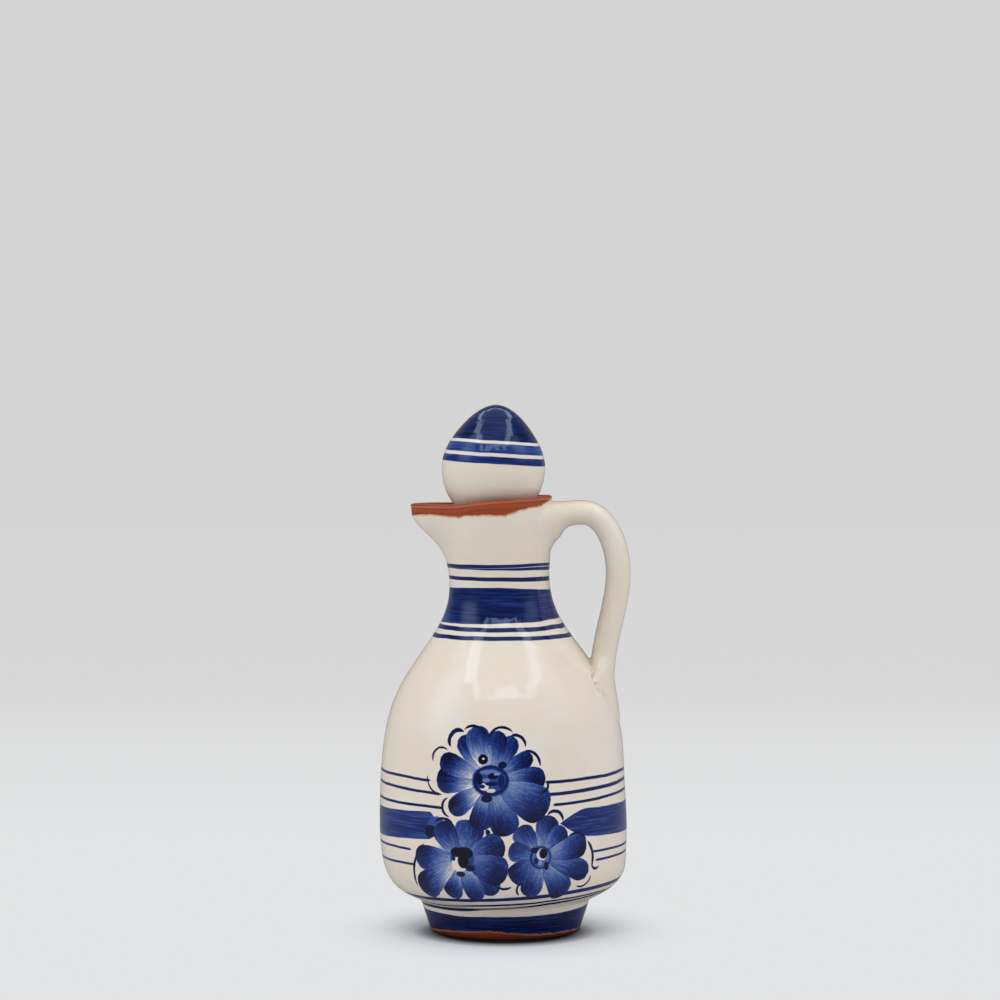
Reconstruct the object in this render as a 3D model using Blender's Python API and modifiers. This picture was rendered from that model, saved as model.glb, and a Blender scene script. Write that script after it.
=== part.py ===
# Oil carafe: a thrown red-clay jug with a pulled spout, a strap handle luted to
# the neck and the shoulder, and a stopper made of a hollow clay knob on a cork.
# Metres, +Z up. The origin is the centre of the foot, the spout points along -X
# and the handle along +X.

import math

import bmesh
import bpy
from mathutils import Vector

# Jug, outside: radii and heights of the turned form
FOOT_RADIUS = 0.0300            # where it stands
FOOT_TOP_RADIUS = 0.0339        # where the foot meets the belly
FOOT_HEIGHT = 0.0126
FOOT_EDGE = 0.0007              # worn round of the standing edge
BELLY_RADIUS = 0.0494
BELLY_HEIGHT = 0.0440           # height of the widest ring
SHOULDER_RADIUS = 0.0374
SHOULDER_HEIGHT = 0.1036
SHOULDER_SLOPE = math.radians(33.5)  # lean of the wall there, from upright
NECK_RADIUS = 0.0200            # at the throat, the narrowest ring
NECK_HEIGHT = 0.1396
MOUTH_FLARE = 0.0034            # how much wider the lip is than the neck
RIM_HEIGHT = 0.1721

# Jug, clay thickness
FLOOR = 0.0080
BELLY_WALL = 0.0048
NECK_WALL = 0.0055
RIM_WALL = 0.0043
LIP_ROUND = 0.0013              # height of the rounded lip
LIP_SQUARE = 0.65               # 1 is a half ellipse, less is squarer

# Jug, what the hand does to the turned form
FOOT_OFFSET = 0.0007            # the foot was trimmed this far off the belly's centre
OFFSET_START = 0.80             # the wall moves over between these shares of the foot's height
OFFSET_END = 1.30
NECK_LEAN = 0.0040              # the neck drifts this far towards the spout
LEAN_START = 0.100              # from this height up
SAG = 0.0014                    # the wall sagged outwards low on the handle side
SAG_HEIGHT = 0.0230
SAG_SPREAD = 0.0068
DRAW = 0.0007                   # and was drawn in above it
DRAW_HEIGHT = 0.0600
DRAW_SPREAD = 0.0140
SPOUT_ROOT = 0.0040             # the pull starts this far above the throat
SPOUT_TOP = 0.0036              # and is complete this far below the rim
SPOUT_PULL = 0.0099
SPOUT_CURVE = 1.6               # how late the wall turns outwards
SPOUT_SPREAD = 0.50             # angle in radians over which the lip is pulled
PINCH = 0.0012                  # two fingers press the rim in beside the spout
PINCH_DIP = 0.0010              # and down
PINCH_ANGLE = 0.78
PINCH_SPREAD = 0.42
RIM_TILT = math.radians(3.5)    # the rim climbs towards the handle

# Handle
STRAP_THICKNESS = 0.0104
STRAP_WIDTH = 0.0215
FINGER_GAP = 0.0222             # clear depth between neck and strap
CROWN_DROP = 0.0006             # top of the strap below the lip's mean height
CROWN_SHARE = 0.57              # of the way out to the elbow
HANDLE_ELBOW = 0.0300           # the outermost point below the lip
UPPER_ROOT_DROP = 0.0140        # centre of the upper root below the lip
UPPER_SINK = 0.0065             # depth of the spine's end in the neck
LOWER_ROOT_HEIGHT = 0.1020      # the strap meets the shoulder here
LOWER_STAND = 0.0010            # with its spine this far outside the wall
STRAP_END_HEIGHT = 0.0800       # and is smeared down the wall to here
END_SINK = 0.0006               # depth of the strap's face in the wall at its end
TAIL_BOW = 0.0014               # how far the smear follows the wall out on the way
ROOT_SWELL = 0.65               # growth of the section where it leaves the neck
SWELL_LENGTH = 0.0055
UPPER_SPREAD = 0.0030           # the roots are spread this far to each side
LOWER_SPREAD = 0.0070
SPREAD_START = 0.1120           # the strap widens from here down
SPREAD_END = 0.0975
TONGUE_TOP = 0.0945             # and closes to a round tongue from here down
TONGUE_CLOSE = 0.93             # 1 is a pointed end, less is blunter

# Stopper
KNOB_GAP = 0.0011               # clearance of the knob in the mouth
KNOB_OVERHANG = 0.0026          # the knob's widest ring beyond the mouth
KNOB_HEIGHT = 0.0248            # widest ring to the tip
KNOB_SHOULDER_RADIUS = 0.0130   # the side turns into the cap here
KNOB_SHOULDER_HEIGHT = 0.0181
KNOB_RISE = 0.0123              # widest ring above the rim
KNOB_UNDERSIDE = 0.0190         # widest ring to the flat underside
KNOB_BELLY = 0.0236             # half height of the lower oval
KNOB_WALL = 0.0045
KNOB_TILT = math.radians(3.6)   # glued on leaning towards the handle
PEG_RADIUS = 0.0055
PEG_LENGTH = 0.0110
VENT_RADIUS = 0.0015            # lets air out of the knob in the kiln
CORK_SHIFT = 0.0002             # the cork's axis beyond the throat's, towards the spout
CORK_BELOW_THROAT = 0.0026
CORK_TAPER = 0.05               # gain in radius for each length upwards
CORK_EDGE = 0.0006
SEAT_CLEARANCE = 0.0003         # cork to throat
GLUE_GAP = 0.0003
CLAY_GAP = 0.0003               # handle to jug

# Facets
ROUND_STEPS = 56
KNOB_STEPS = 40
STRAP_SIDES = 7                 # bevel resolution of the strap

mouth_radius = NECK_RADIUS + MOUTH_FLARE
mouth_bore = mouth_radius - RIM_WALL
throat_bore = NECK_RADIUS - NECK_WALL
knob_radius = mouth_bore - KNOB_GAP + KNOB_OVERHANG


def clear_scene():
    for thing in list(bpy.data.objects):
        bpy.data.objects.remove(thing, do_unlink=True)


def new_collection(name):
    group = bpy.data.collections.new(name)
    bpy.context.scene.collection.children.link(group)
    return group


def new_material(name, colour, roughness):
    material = bpy.data.materials.new(name)
    material.use_nodes = True
    shader = material.node_tree.nodes["Principled BSDF"]
    shader.inputs["Base Color"].default_value = (*colour, 1.0)
    shader.inputs["Roughness"].default_value = roughness
    shader.inputs["Metallic"].default_value = 0.0
    return material


def bezier(start, out, back, end, count):
    """Points of a cubic curve, without its first one."""
    points = []
    for i in range(1, count + 1):
        t = i / count
        s = 1 - t
        weights = (s * s * s, 3 * s * s * t, 3 * s * t * t, t * t * t)
        corners = (start, out, back, end)
        points.append(tuple(sum(w * p[k] for w, p in zip(weights, corners)) for k in (0, 1)))
    return points


def smooth(t):
    t = min(max(t, 0.0), 1.0)
    return t * t * (3 - 2 * t)


def blend(low, high, t):
    return low + (high - low) * t


# The outside of the jug from the foot's edge to the lip, as (radius, height).
# Each bow is a cubic curve whose two handles are shares of its own stretch.
def jug_outside():
    foot_top = (FOOT_TOP_RADIUS, FOOT_HEIGHT)
    widest = (BELLY_RADIUS, BELLY_HEIGHT)
    shoulder = (SHOULDER_RADIUS, SHOULDER_HEIGHT)
    throat = (NECK_RADIUS, NECK_HEIGHT)
    lip = (mouth_radius, RIM_HEIGHT - LIP_ROUND)
    slope = (-math.sin(SHOULDER_SLOPE), math.cos(SHOULDER_SLOPE))
    corner_rise = BELLY_HEIGHT - FOOT_HEIGHT
    belly_rise = SHOULDER_HEIGHT - BELLY_HEIGHT
    neck_rise = NECK_HEIGHT - SHOULDER_HEIGHT
    mouth_rise = RIM_HEIGHT - NECK_HEIGHT

    points = [(FOOT_RADIUS - FOOT_EDGE, 0.0), (FOOT_RADIUS, FOOT_EDGE), foot_top]
    points += bezier(
        foot_top,
        (blend(FOOT_TOP_RADIUS, BELLY_RADIUS, 0.59), FOOT_HEIGHT + 0.14 * corner_rise),
        (BELLY_RADIUS, FOOT_HEIGHT + 0.19 * corner_rise),
        widest, 9)
    points += bezier(
        widest,
        (BELLY_RADIUS, BELLY_HEIGHT + 0.61 * belly_rise),
        (shoulder[0] - 0.24 * belly_rise * slope[0], shoulder[1] - 0.24 * belly_rise * slope[1]),
        shoulder, 8)
    points += bezier(
        shoulder,
        (shoulder[0] + 0.52 * neck_rise * slope[0], shoulder[1] + 0.52 * neck_rise * slope[1]),
        (NECK_RADIUS, NECK_HEIGHT - 0.41 * neck_rise),
        throat, 7)
    points += bezier(
        throat,
        (NECK_RADIUS, NECK_HEIGHT + 0.20 * mouth_rise),
        (NECK_RADIUS + 0.76 * MOUTH_FLARE, NECK_HEIGHT + 0.51 * mouth_rise),
        lip, 8)
    return points


def offset_by(points, distance_at):
    """The outline moved along its own normal, by distance_at(height), away from the clay."""
    moved = []
    for i, (radius, height) in enumerate(points):
        before = points[max(i - 1, 0)]
        after = points[min(i + 1, len(points) - 1)]
        along = Vector((after[0] - before[0], after[1] - before[1])).normalized()
        distance = distance_at(height)
        moved.append((radius + along.y * distance, height - along.x * distance))
    return moved


def wall_at(height):
    """Thickness of the wall at a height."""
    up_neck = smooth((height - SHOULDER_HEIGHT) / (NECK_HEIGHT - SHOULDER_HEIGHT))
    up_mouth = smooth((height - NECK_HEIGHT) / (RIM_HEIGHT - NECK_HEIGHT))
    return blend(blend(BELLY_WALL, NECK_WALL, up_neck), RIM_WALL, up_mouth)


def jug_inside():
    """Floor, bowl and inner wall, from the axis up to the lip."""
    above_foot = [point for point in jug_outside() if point[1] > FOOT_HEIGHT]
    wall = offset_by(above_foot, lambda height: -wall_at(height))
    wall[-1] = (mouth_bore, RIM_HEIGHT - LIP_ROUND)
    start, after = wall[0], wall[1]
    along = Vector((after[0] - start[0], after[1] - start[1])).normalized()
    reach = 0.28 * start[0]
    bowl = bezier(
        (0.0, FLOOR),
        (0.5 * start[0], FLOOR),
        (start[0] - along.x * reach, start[1] - along.y * reach),
        start, 6)
    return [(0.0, FLOOR)] + bowl + wall[1:]


def lip(steps):
    """The rounded top of the wall, from its inner to its outer side."""
    middle = (mouth_radius + mouth_bore) / 2
    half = RIM_WALL / 2
    points = []
    for i in range(1, steps):
        angle = math.pi * (1 - i / steps)
        across = math.copysign(abs(math.cos(angle)) ** LIP_SQUARE, math.cos(angle))
        up = math.sin(angle) ** LIP_SQUARE
        points.append((middle + half * across, RIM_HEIGHT - LIP_ROUND + LIP_ROUND * up))
    return points


def lean_at(height):
    """Where the jug's centre line is at a height."""
    above_foot = smooth((height / FOOT_HEIGHT - OFFSET_START) / (OFFSET_END - OFFSET_START))
    up_neck = max(height - LEAN_START, 0.0) / (RIM_HEIGHT - LEAN_START)
    return -FOOT_OFFSET * above_foot - NECK_LEAN * up_neck ** 1.5


def bump(value, centre, spread):
    return math.exp(-(((value - centre) / spread) ** 2))


def hand_shaped(point):
    """Where a point of the turned form goes when the potter pulls the spout."""
    spout_root = NECK_HEIGHT + SPOUT_ROOT
    rise = smooth((point.z - spout_root) / (RIM_HEIGHT - SPOUT_TOP - spout_root))
    radius = math.hypot(point.x, point.y)
    angle = math.atan2(point.y, -point.x)
    pull = SPOUT_PULL * rise ** SPOUT_CURVE * bump(angle, 0.0, SPOUT_SPREAD)
    fingers = rise * bump(abs(angle), PINCH_ANGLE, PINCH_SPREAD)
    handle_side = max(-math.cos(angle), 0.0) ** 2
    sag = SAG * bump(point.z, SAG_HEIGHT, SAG_SPREAD) - DRAW * bump(point.z, DRAW_HEIGHT, DRAW_SPREAD)
    radius += pull - PINCH * fingers + handle_side * sag * min(radius / FOOT_RADIUS, 1.0)
    x = -radius * math.cos(angle)
    height = point.z + math.tan(RIM_TILT) * x * rise - PINCH_DIP * fingers
    return Vector((x + lean_at(point.z), radius * math.sin(angle), height))


def mesh_object(name, mesh, group, material=None):
    thing = bpy.data.objects.new(name, mesh)
    group.objects.link(thing)
    if material:
        mesh.materials.clear()
        mesh.materials.append(material)
    return thing


def turned(name, outline, steps, group, material=None):
    """A closed solid of revolution. The outline starts and ends on the axis."""
    mesh = bpy.data.meshes.new(name)
    vertices = [(radius, 0.0, height) for radius, height in outline]
    mesh.from_pydata(vertices, [(i, i + 1) for i in range(len(vertices) - 1)], [])
    thing = mesh_object(name, mesh, group)
    screw = thing.modifiers.new("turn", "SCREW")
    screw.steps = steps
    screw.render_steps = steps
    screw.use_merge_vertices = True
    screw.merge_threshold = 0.00001
    solid = evaluated_mesh(thing, name)
    bpy.data.objects.remove(thing, do_unlink=True)
    thing = mesh_object(name, solid, group, material)
    return thing


def evaluated_mesh(thing, name):
    graph = bpy.context.evaluated_depsgraph_get()
    solid = bpy.data.meshes.new_from_object(thing.evaluated_get(graph))
    solid.name = name
    work = bmesh.new()
    work.from_mesh(solid)
    bmesh.ops.remove_doubles(work, verts=work.verts, dist=0.000005)
    work.to_mesh(solid)
    work.free()
    return solid


def shade(thing):
    thing.data.shade_smooth()
    thing.data.set_sharp_from_angle(angle=math.radians(35))


def as_cutter(thing):
    thing.hide_render = True
    thing.display_type = "WIRE"
    return thing


def cut(thing, cutter):
    boolean = thing.modifiers.new("cut", "BOOLEAN")
    boolean.operation = "DIFFERENCE"
    boolean.solver = "EXACT"
    boolean.object = cutter


def make_jug(group, glaze):
    outside = jug_outside()
    outline = jug_inside() + lip(6) + outside[::-1] + [(0.0, 0.0)]
    jug = turned("jug_body", outline, ROUND_STEPS, group, glaze)
    for vertex in jug.data.vertices:
        vertex.co = hand_shaped(vertex.co)
    shade(jug)
    return jug


def make_jug_plug(group):
    """The jug's outside, filled in and a clay gap larger, to trim the handle's roots."""
    outside = offset_by(jug_outside(), lambda height: CLAY_GAP)
    top_radius = outside[-1][0]
    top = RIM_HEIGHT + STRAP_THICKNESS
    outline = [(0.0, top), (top_radius, top)] + outside[::-1] + [(0.0, outside[0][1])]
    plug = turned("jug_plug", outline, 2 * ROUND_STEPS, group)
    for vertex in plug.data.vertices:
        vertex.co = hand_shaped(vertex.co)
    return as_cutter(plug)


def outside_radius(height):
    """Radius of the turned form at a height."""
    points = jug_outside()
    for low, high in zip(points, points[1:]):
        if low[1] <= height <= high[1]:
            return blend(low[0], high[0], (height - low[1]) / (high[1] - low[1]))
    return points[-1][0]


def wall_x(height):
    """Where the jug's outside is on the handle side."""
    return lean_at(height) + outside_radius(height)


def strap_spine():
    """Centre line of the handle in the XZ plane, from inside the neck wall to inside the shoulder."""
    half = STRAP_THICKNESS / 2
    root_height = RIM_HEIGHT - UPPER_ROOT_DROP
    root = (wall_x(root_height) - UPPER_SINK, root_height)
    elbow_height = RIM_HEIGHT - HANDLE_ELBOW
    elbow = (wall_x(elbow_height) + FINGER_GAP + half, elbow_height)
    crown = (blend(root[0], elbow[0], CROWN_SHARE), RIM_HEIGHT - CROWN_DROP - half)
    landing = (wall_x(LOWER_ROOT_HEIGHT) + LOWER_STAND, LOWER_ROOT_HEIGHT)
    end = (wall_x(STRAP_END_HEIGHT) - END_SINK - half, STRAP_END_HEIGHT)
    fall = elbow_height - LOWER_ROOT_HEIGHT
    upper = bezier(
        root,
        (blend(root[0], crown[0], 0.22), blend(root_height, crown[1], 0.62)),
        (blend(root[0], crown[0], 0.50), crown[1]),
        crown, 8)
    bow = bezier(
        crown,
        (blend(crown[0], elbow[0], 0.60), crown[1]),
        (elbow[0], blend(elbow_height, crown[1], 0.50)),
        elbow, 10)
    lower = bezier(
        elbow,
        (elbow[0], elbow_height - 0.31 * fall),
        (blend(landing[0], elbow[0], 0.06), LOWER_ROOT_HEIGHT + 0.35 * fall),
        landing, 13)
    tail = bezier(
        landing,
        (landing[0], blend(LOWER_ROOT_HEIGHT, STRAP_END_HEIGHT, 0.33)),
        (end[0] + TAIL_BOW, blend(LOWER_ROOT_HEIGHT, STRAP_END_HEIGHT, 0.66)),
        end, 6)
    return [root] + upper + bow + lower + tail


def strap_sections(spine):
    """Half thickness, half width and share of wall curvature at each point of the spine."""
    sections = []
    length = 0.0
    before = spine[0]
    for point in spine:
        length += math.dist(before, point)
        before = point
        at_neck = bump(max(length - UPPER_SINK, 0.0), 0.0, SWELL_LENGTH)
        at_shoulder = smooth((SPREAD_START - point[1]) / (SPREAD_START - SPREAD_END))
        closed = TONGUE_CLOSE * max(TONGUE_TOP - point[1], 0.0) / (TONGUE_TOP - STRAP_END_HEIGHT)
        thickness = STRAP_THICKNESS / 2 * (1 + ROOT_SWELL * at_neck)
        width = STRAP_WIDTH / 2 + UPPER_SPREAD * at_neck + LOWER_SPREAD * at_shoulder
        sections.append((thickness, width * math.sqrt(1 - closed ** 2), max(at_neck, at_shoulder)))
    return sections


def make_handle(group, cutters, glaze):
    spine = strap_spine()
    sections = strap_sections(spine)
    half = STRAP_THICKNESS / 2
    curve = bpy.data.curves.new("handle", "CURVE")
    curve.dimensions = "3D"
    curve.bevel_depth = half
    curve.bevel_resolution = STRAP_SIDES
    curve.use_fill_caps = True
    spline = curve.splines.new("POLY")
    spline.points.add(len(spine) - 1)
    for knot, (x, z), (thickness, _, _) in zip(spline.points, spine, sections):
        knot.co = (x, 0.0, z, 1.0)
        knot.radius = thickness / half
    strap = bpy.data.objects.new("handle_curve", curve)
    group.objects.link(strap)
    solid = evaluated_mesh(strap, "handle")
    bpy.data.objects.remove(strap, do_unlink=True)

    # The round section becomes a strap, and its roots are pressed round the wall
    for vertex in solid.vertices:
        here = (vertex.co.x, vertex.co.z)
        nearest = min(range(len(spine)), key=lambda i: math.dist(spine[i], here))
        thickness, width, press = sections[nearest]
        vertex.co.y *= width / thickness
        wall = outside_radius(min(vertex.co.z, RIM_HEIGHT))
        vertex.co.x -= press * (wall - math.sqrt(wall ** 2 - vertex.co.y ** 2))

    handle = mesh_object("handle", solid, group, glaze)
    cut(handle, make_jug_plug(cutters))
    shade(handle)
    return handle


def knob_dome(wall, side_steps, cap_steps):
    """The knob above its widest ring, a wall's thickness inside its face."""
    radius = knob_radius - wall
    height = KNOB_HEIGHT - wall
    inwards = wall * math.sqrt(0.5)
    shoulder = (KNOB_SHOULDER_RADIUS - inwards, KNOB_SHOULDER_HEIGHT - inwards)
    side = bezier(
        (radius, 0.0), (radius, 0.40 * shoulder[1]),
        (blend(shoulder[0], radius, 0.45), 0.76 * shoulder[1]), shoulder, side_steps)
    cap = bezier(
        shoulder, (0.75 * shoulder[0], blend(shoulder[1], height, 0.61)),
        (0.46 * shoulder[0], height), (0.0, height), cap_steps)
    return side + cap


def knob_outline():
    """Half section of the hollow knob, its widest ring at height 0."""
    dome = knob_dome(0.0, 7, 6)
    bowl = []
    steps = 8
    for i in range(1, steps + 1):
        depth = KNOB_UNDERSIDE * i / steps
        bowl.append((knob_radius * math.sqrt(1 - (depth / KNOB_BELLY) ** 2), -depth))

    inner_radius = knob_radius - KNOB_WALL
    inner_floor = KNOB_UNDERSIDE - KNOB_WALL
    flat_radius = inner_radius / 2
    inner_bowl = [(flat_radius, -inner_floor)] + bezier(
        (flat_radius, -inner_floor), (0.80 * inner_radius, -inner_floor),
        (inner_radius, -inner_floor / 2), (inner_radius, 0.0), 4)
    peg_end = -KNOB_UNDERSIDE - PEG_LENGTH
    peg = [(PEG_RADIUS, -KNOB_UNDERSIDE), (PEG_RADIUS, peg_end + CORK_EDGE),
           (PEG_RADIUS - CORK_EDGE, peg_end)]
    vent = [(VENT_RADIUS, peg_end), (VENT_RADIUS, -inner_floor)]
    hollow = inner_bowl + knob_dome(KNOB_WALL, 4, 3)
    return dome[::-1] + [(knob_radius, 0.0)] + bowl + peg + vent + hollow


def make_knob(stopper, group, glaze):
    knob = turned("stopper_knob", knob_outline(), KNOB_STEPS, group, glaze)
    shade(knob)
    knob.parent = stopper
    centre = lean_at(RIM_HEIGHT) + KNOB_RISE * math.tan(KNOB_TILT)
    widest = RIM_HEIGHT + KNOB_RISE
    knob.location = (centre - stopper.location.x, 0.0, widest - stopper.location.z)
    knob.rotation_euler = (0.0, KNOB_TILT, 0.0)
    return knob


def make_cork(stopper, knob, group, cutters, bark):
    """A tapered cork in the throat, cut to the knob's underside and bored for its peg."""
    bottom = NECK_HEIGHT - CORK_BELOW_THROAT - stopper.location.z
    seat_radius = throat_bore - SEAT_CLEARANCE - CORK_SHIFT
    blank_top = knob.location.z - KNOB_UNDERSIDE * math.cos(KNOB_TILT) + seat_radius * math.tan(KNOB_TILT)
    bottom_radius = seat_radius - CORK_TAPER * CORK_BELOW_THROAT
    top_radius = seat_radius + CORK_TAPER * blank_top
    outline = [(0.0, blank_top), (top_radius, blank_top), (bottom_radius, bottom + CORK_EDGE),
               (bottom_radius - CORK_EDGE, bottom), (0.0, bottom)]
    cork = turned("stopper_cork", outline, KNOB_STEPS, group, bark)
    cork.parent = stopper

    underside = -KNOB_UNDERSIDE - GLUE_GAP
    hole_radius = PEG_RADIUS + GLUE_GAP
    above = 2 * seat_radius
    seat = [(0.0, underside + above), (above, underside + above), (above, underside),
            (hole_radius, underside), (hole_radius, underside - PEG_LENGTH), (0.0, underside - PEG_LENGTH)]
    socket = as_cutter(turned("knob_socket", seat, KNOB_STEPS, cutters))
    socket.parent = stopper
    socket.location = knob.location
    socket.rotation_euler = knob.rotation_euler
    cut(cork, socket)
    shade(cork)
    return cork


def make_stopper(group, cutters, glaze, bark):
    stopper = bpy.data.objects.new("stopper_lift", None)
    stopper.empty_display_size = 0.01
    group.objects.link(stopper)
    stopper.location = (lean_at(NECK_HEIGHT) - CORK_SHIFT, 0.0, NECK_HEIGHT)
    knob = make_knob(stopper, group, glaze)
    make_cork(stopper, knob, group, cutters, bark)
    return stopper


def main():
    clear_scene()
    group = new_collection("oil_carafe")
    cutters = new_collection("cutters")
    glaze = new_material("cream_glaze", (0.76, 0.68, 0.56), 0.12)
    bark = new_material("natural_cork", (0.50, 0.32, 0.17), 0.85)
    make_jug(group, glaze)
    make_handle(group, cutters, glaze)
    make_stopper(group, cutters, glaze, bark)


main()
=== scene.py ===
# Looks of the oil carafe: glazed and painted red clay, with a cork under its knob
import math
from functools import partial
import bmesh
import bpy
from mathutils import Matrix, Vector, noise
from mathutils.bvhtree import BVHTree


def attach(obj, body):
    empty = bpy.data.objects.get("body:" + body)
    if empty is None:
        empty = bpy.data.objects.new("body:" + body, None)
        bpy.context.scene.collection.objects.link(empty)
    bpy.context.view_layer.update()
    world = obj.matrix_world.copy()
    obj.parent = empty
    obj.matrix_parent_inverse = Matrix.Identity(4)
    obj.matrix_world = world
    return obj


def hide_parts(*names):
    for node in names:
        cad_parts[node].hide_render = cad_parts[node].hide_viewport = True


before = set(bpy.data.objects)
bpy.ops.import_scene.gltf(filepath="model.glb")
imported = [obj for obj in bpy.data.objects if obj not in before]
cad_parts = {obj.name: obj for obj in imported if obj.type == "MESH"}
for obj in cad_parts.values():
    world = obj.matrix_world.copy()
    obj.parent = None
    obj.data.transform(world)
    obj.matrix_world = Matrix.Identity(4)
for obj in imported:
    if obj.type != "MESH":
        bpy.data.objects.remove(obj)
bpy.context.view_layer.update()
mm = 0.001
weld = 0.002 * mm                             # corners nearer than this are one
print("frame loaded:", ", ".join(sorted(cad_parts)))


# Small helpers

def bezier(start, out, back, end, count):
    points = []
    for i in range(1, count + 1):
        t = i / count
        s = 1 - t
        weights = (s * s * s, 3 * s * s * t, 3 * s * t * t, t * t * t)
        points.append(tuple(sum(w * p[k] for w, p in zip(weights, (start, out, back, end))) for k in (0, 1)))
    return points


def curve(start, stretches):
    # One line through several stretches; each has two handles, its end and a number of steps
    points = [start]
    for out, back, end, count in stretches:
        points += bezier(points[-1], out, back, end, count)
    return points


def blend(low, high, t):
    return low + (high - low) * t


def partWay(start, end, share):
    return tuple(blend(a, b, share) for a, b in zip(start, end))


def smooth(t):
    t = min(max(t, 0.0), 1.0)
    return t * t * (3 - 2 * t)


def bump(value, centre, spread):
    return math.exp(-(((value - centre) / spread) ** 2))


def between(value, keys):
    # Value of a curve drawn through a few (place, value) keys, with level ends
    if value <= keys[0][0]:
        return keys[0][1]
    for (low, before), (high, after) in zip(keys, keys[1:]):
        if value <= high:
            return blend(before, after, smooth((value - low) / (high - low)))
    return keys[-1][1]


def turnedBmesh(outline, steps):
    # A few vertices in the XZ plane, spun round Z; the outline is (radius, height)
    bm = bmesh.new()
    verts = [bm.verts.new((radius, 0.0, height)) for radius, height in outline]
    edges = [bm.edges.new(pair) for pair in zip(verts, verts[1:])]
    bmesh.ops.spin(bm, geom=verts + edges, axis=(0, 0, 1), cent=(0, 0, 0), dvec=(0, 0, 0),
                   angle=math.tau, steps=steps, use_merge=True, use_duplicate=False)
    bmesh.ops.remove_doubles(bm, verts=bm.verts, dist=weld)
    bmesh.ops.recalc_face_normals(bm, faces=bm.faces)
    return bm


def meshPiece(name, bm, material):
    mesh = bpy.data.meshes.new(name)
    bm.to_mesh(mesh)
    bm.free()
    mesh.shade_smooth()
    mesh.materials.append(material)
    piece = bpy.data.objects.new(name, mesh)
    bpy.context.scene.collection.objects.link(piece)
    return piece


def linear(hexColour):
    channels = [int(hexColour[i:i + 2], 16) / 255 for i in (1, 3, 5)]
    return tuple(c / 12.92 if c <= 0.04045 else ((c + 0.055) / 1.055) ** 2.4 for c in channels) + (1.0,)


eased = {"interpolation_type": "SMOOTHSTEP", "clamp": False}


def addNode(tree, kind, inputs=(), **settings):
    # kind is the node's name, then its operation or data type; inputs fill the sockets in order, or by
    # name from a dictionary; a node stands for its first output
    name, _, mode = kind.partition(" ")
    node = tree.nodes.new(name if name.startswith("NodeGroup") else "ShaderNode" + name)
    if mode:
        settings["data_type" if name == "Mix" else "operation"] = mode
    for setting, value in settings.items():
        setattr(node, setting, value)
    named = isinstance(inputs, dict)
    sockets = node.inputs if named else [socket for socket in node.inputs if socket.enabled]
    for key, value in inputs.items() if named else enumerate(inputs):
        if isinstance(value, bpy.types.Node):
            value = next(socket for socket in value.outputs if socket.enabled)
        if isinstance(value, bpy.types.NodeSocket):
            tree.links.new(value, sockets[key])
        else:
            sockets[key].default_value = value
    return node


def emptyTree(owner):
    # Clears a material's or a world's nodes, and gives what adds new ones there
    owner.use_nodes = True
    owner.node_tree.nodes.clear()
    return partial(addNode, owner.node_tree)


def newMaterial(name):
    material = bpy.data.materials.new(name)
    return material, emptyTree(material)


def fillRamp(ramp, stops):
    # Its colours by place; a new ramp has two of them
    elements = ramp.color_ramp.elements
    for i, (place, colour) in enumerate(stops):
        stop = elements[i] if i < 2 else elements.new(place)
        stop.position = place
        stop.color = linear(colour)


# Jug: the thrown form, the same sizes as the solid it stands for, with a finer skin

jugForm = {
    "footRadius": 30.0 * mm, "footTopRadius": 33.9 * mm, "footHeight": 12.6 * mm, "footEdge": 0.7 * mm,
    "bellyRadius": 49.4 * mm, "bellyHeight": 44.0 * mm,
    "shoulderRadius": 37.4 * mm, "shoulderHeight": 103.6 * mm, "shoulderSlope": math.radians(33.5),
    "neckRadius": 20.0 * mm, "neckHeight": 139.6 * mm, "mouthFlare": 3.4 * mm, "rimHeight": 172.1 * mm,
    "floor": 8.0 * mm, "bowlStart": 3.0 * mm,  # the bowl curves up to the wall this far above the foot
    "bellyWall": 4.8 * mm, "neckWall": 5.5 * mm, "rimWall": 4.3 * mm,
    "lipRound": 1.3 * mm, "lipSquare": 0.65,
    "footOffset": 0.7 * mm, "offsetStart": 0.80, "offsetEnd": 1.30,
    "neckLean": 4.0 * mm, "leanStart": 100.0 * mm, "leanCurve": 1.5,
    "sag": 1.4 * mm, "sagHeight": 23.0 * mm, "sagSpread": 6.8 * mm,
    "draw": 0.7 * mm, "drawHeight": 60.0 * mm, "drawSpread": 14.0 * mm,
    "spoutRoot": 4.0 * mm, "spoutTop": 3.6 * mm, "spoutPull": 9.9 * mm, "spoutCurve": 1.6,
    "spoutSpread": 0.50,
    "pinch": 1.2 * mm, "pinchDip": 1.0 * mm, "pinchAngle": 0.78, "pinchSpread": 0.42,
    "rimTilt": math.radians(3.5),
    "steps": 256,                             # faces round the jug
    "glazeCoat": 0.22 * mm,                   # bare clay lies this much deeper than the glaze
    "glazeRoll": 0.9,                         # mm over which the glaze rounds down to the clay
    "throwRings": 0.05 * mm, "throwPitch": 5.5 * mm, "throwStart": 2.0,
    "grooveDrop": 2.0 * mm, "groove": 0.20 * mm, "grooveSpread": 0.35 * mm,
    # How far the outline's handles reach from one of those places to the next, as shares of the way
    "edgeBend": 0.3, "cornerOut": 0.59, "cornerUp": (0.14, 0.19), "bellyUp": 0.61, "shoulderDown": 0.24,
    "shoulderUp": 0.52, "throatDown": 0.41, "throatUp": 0.20, "lipOut": 0.76, "lipUp": 0.51,
    "bowlOut": 0.5, "bowlDown": 0.28,
    "rows": (4, 22, 40, 40, 30, 100),         # up the foot's edge, foot, corner, belly, shoulder and mouth
    "bowlRows": 20, "lipRows": 14,
}


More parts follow.
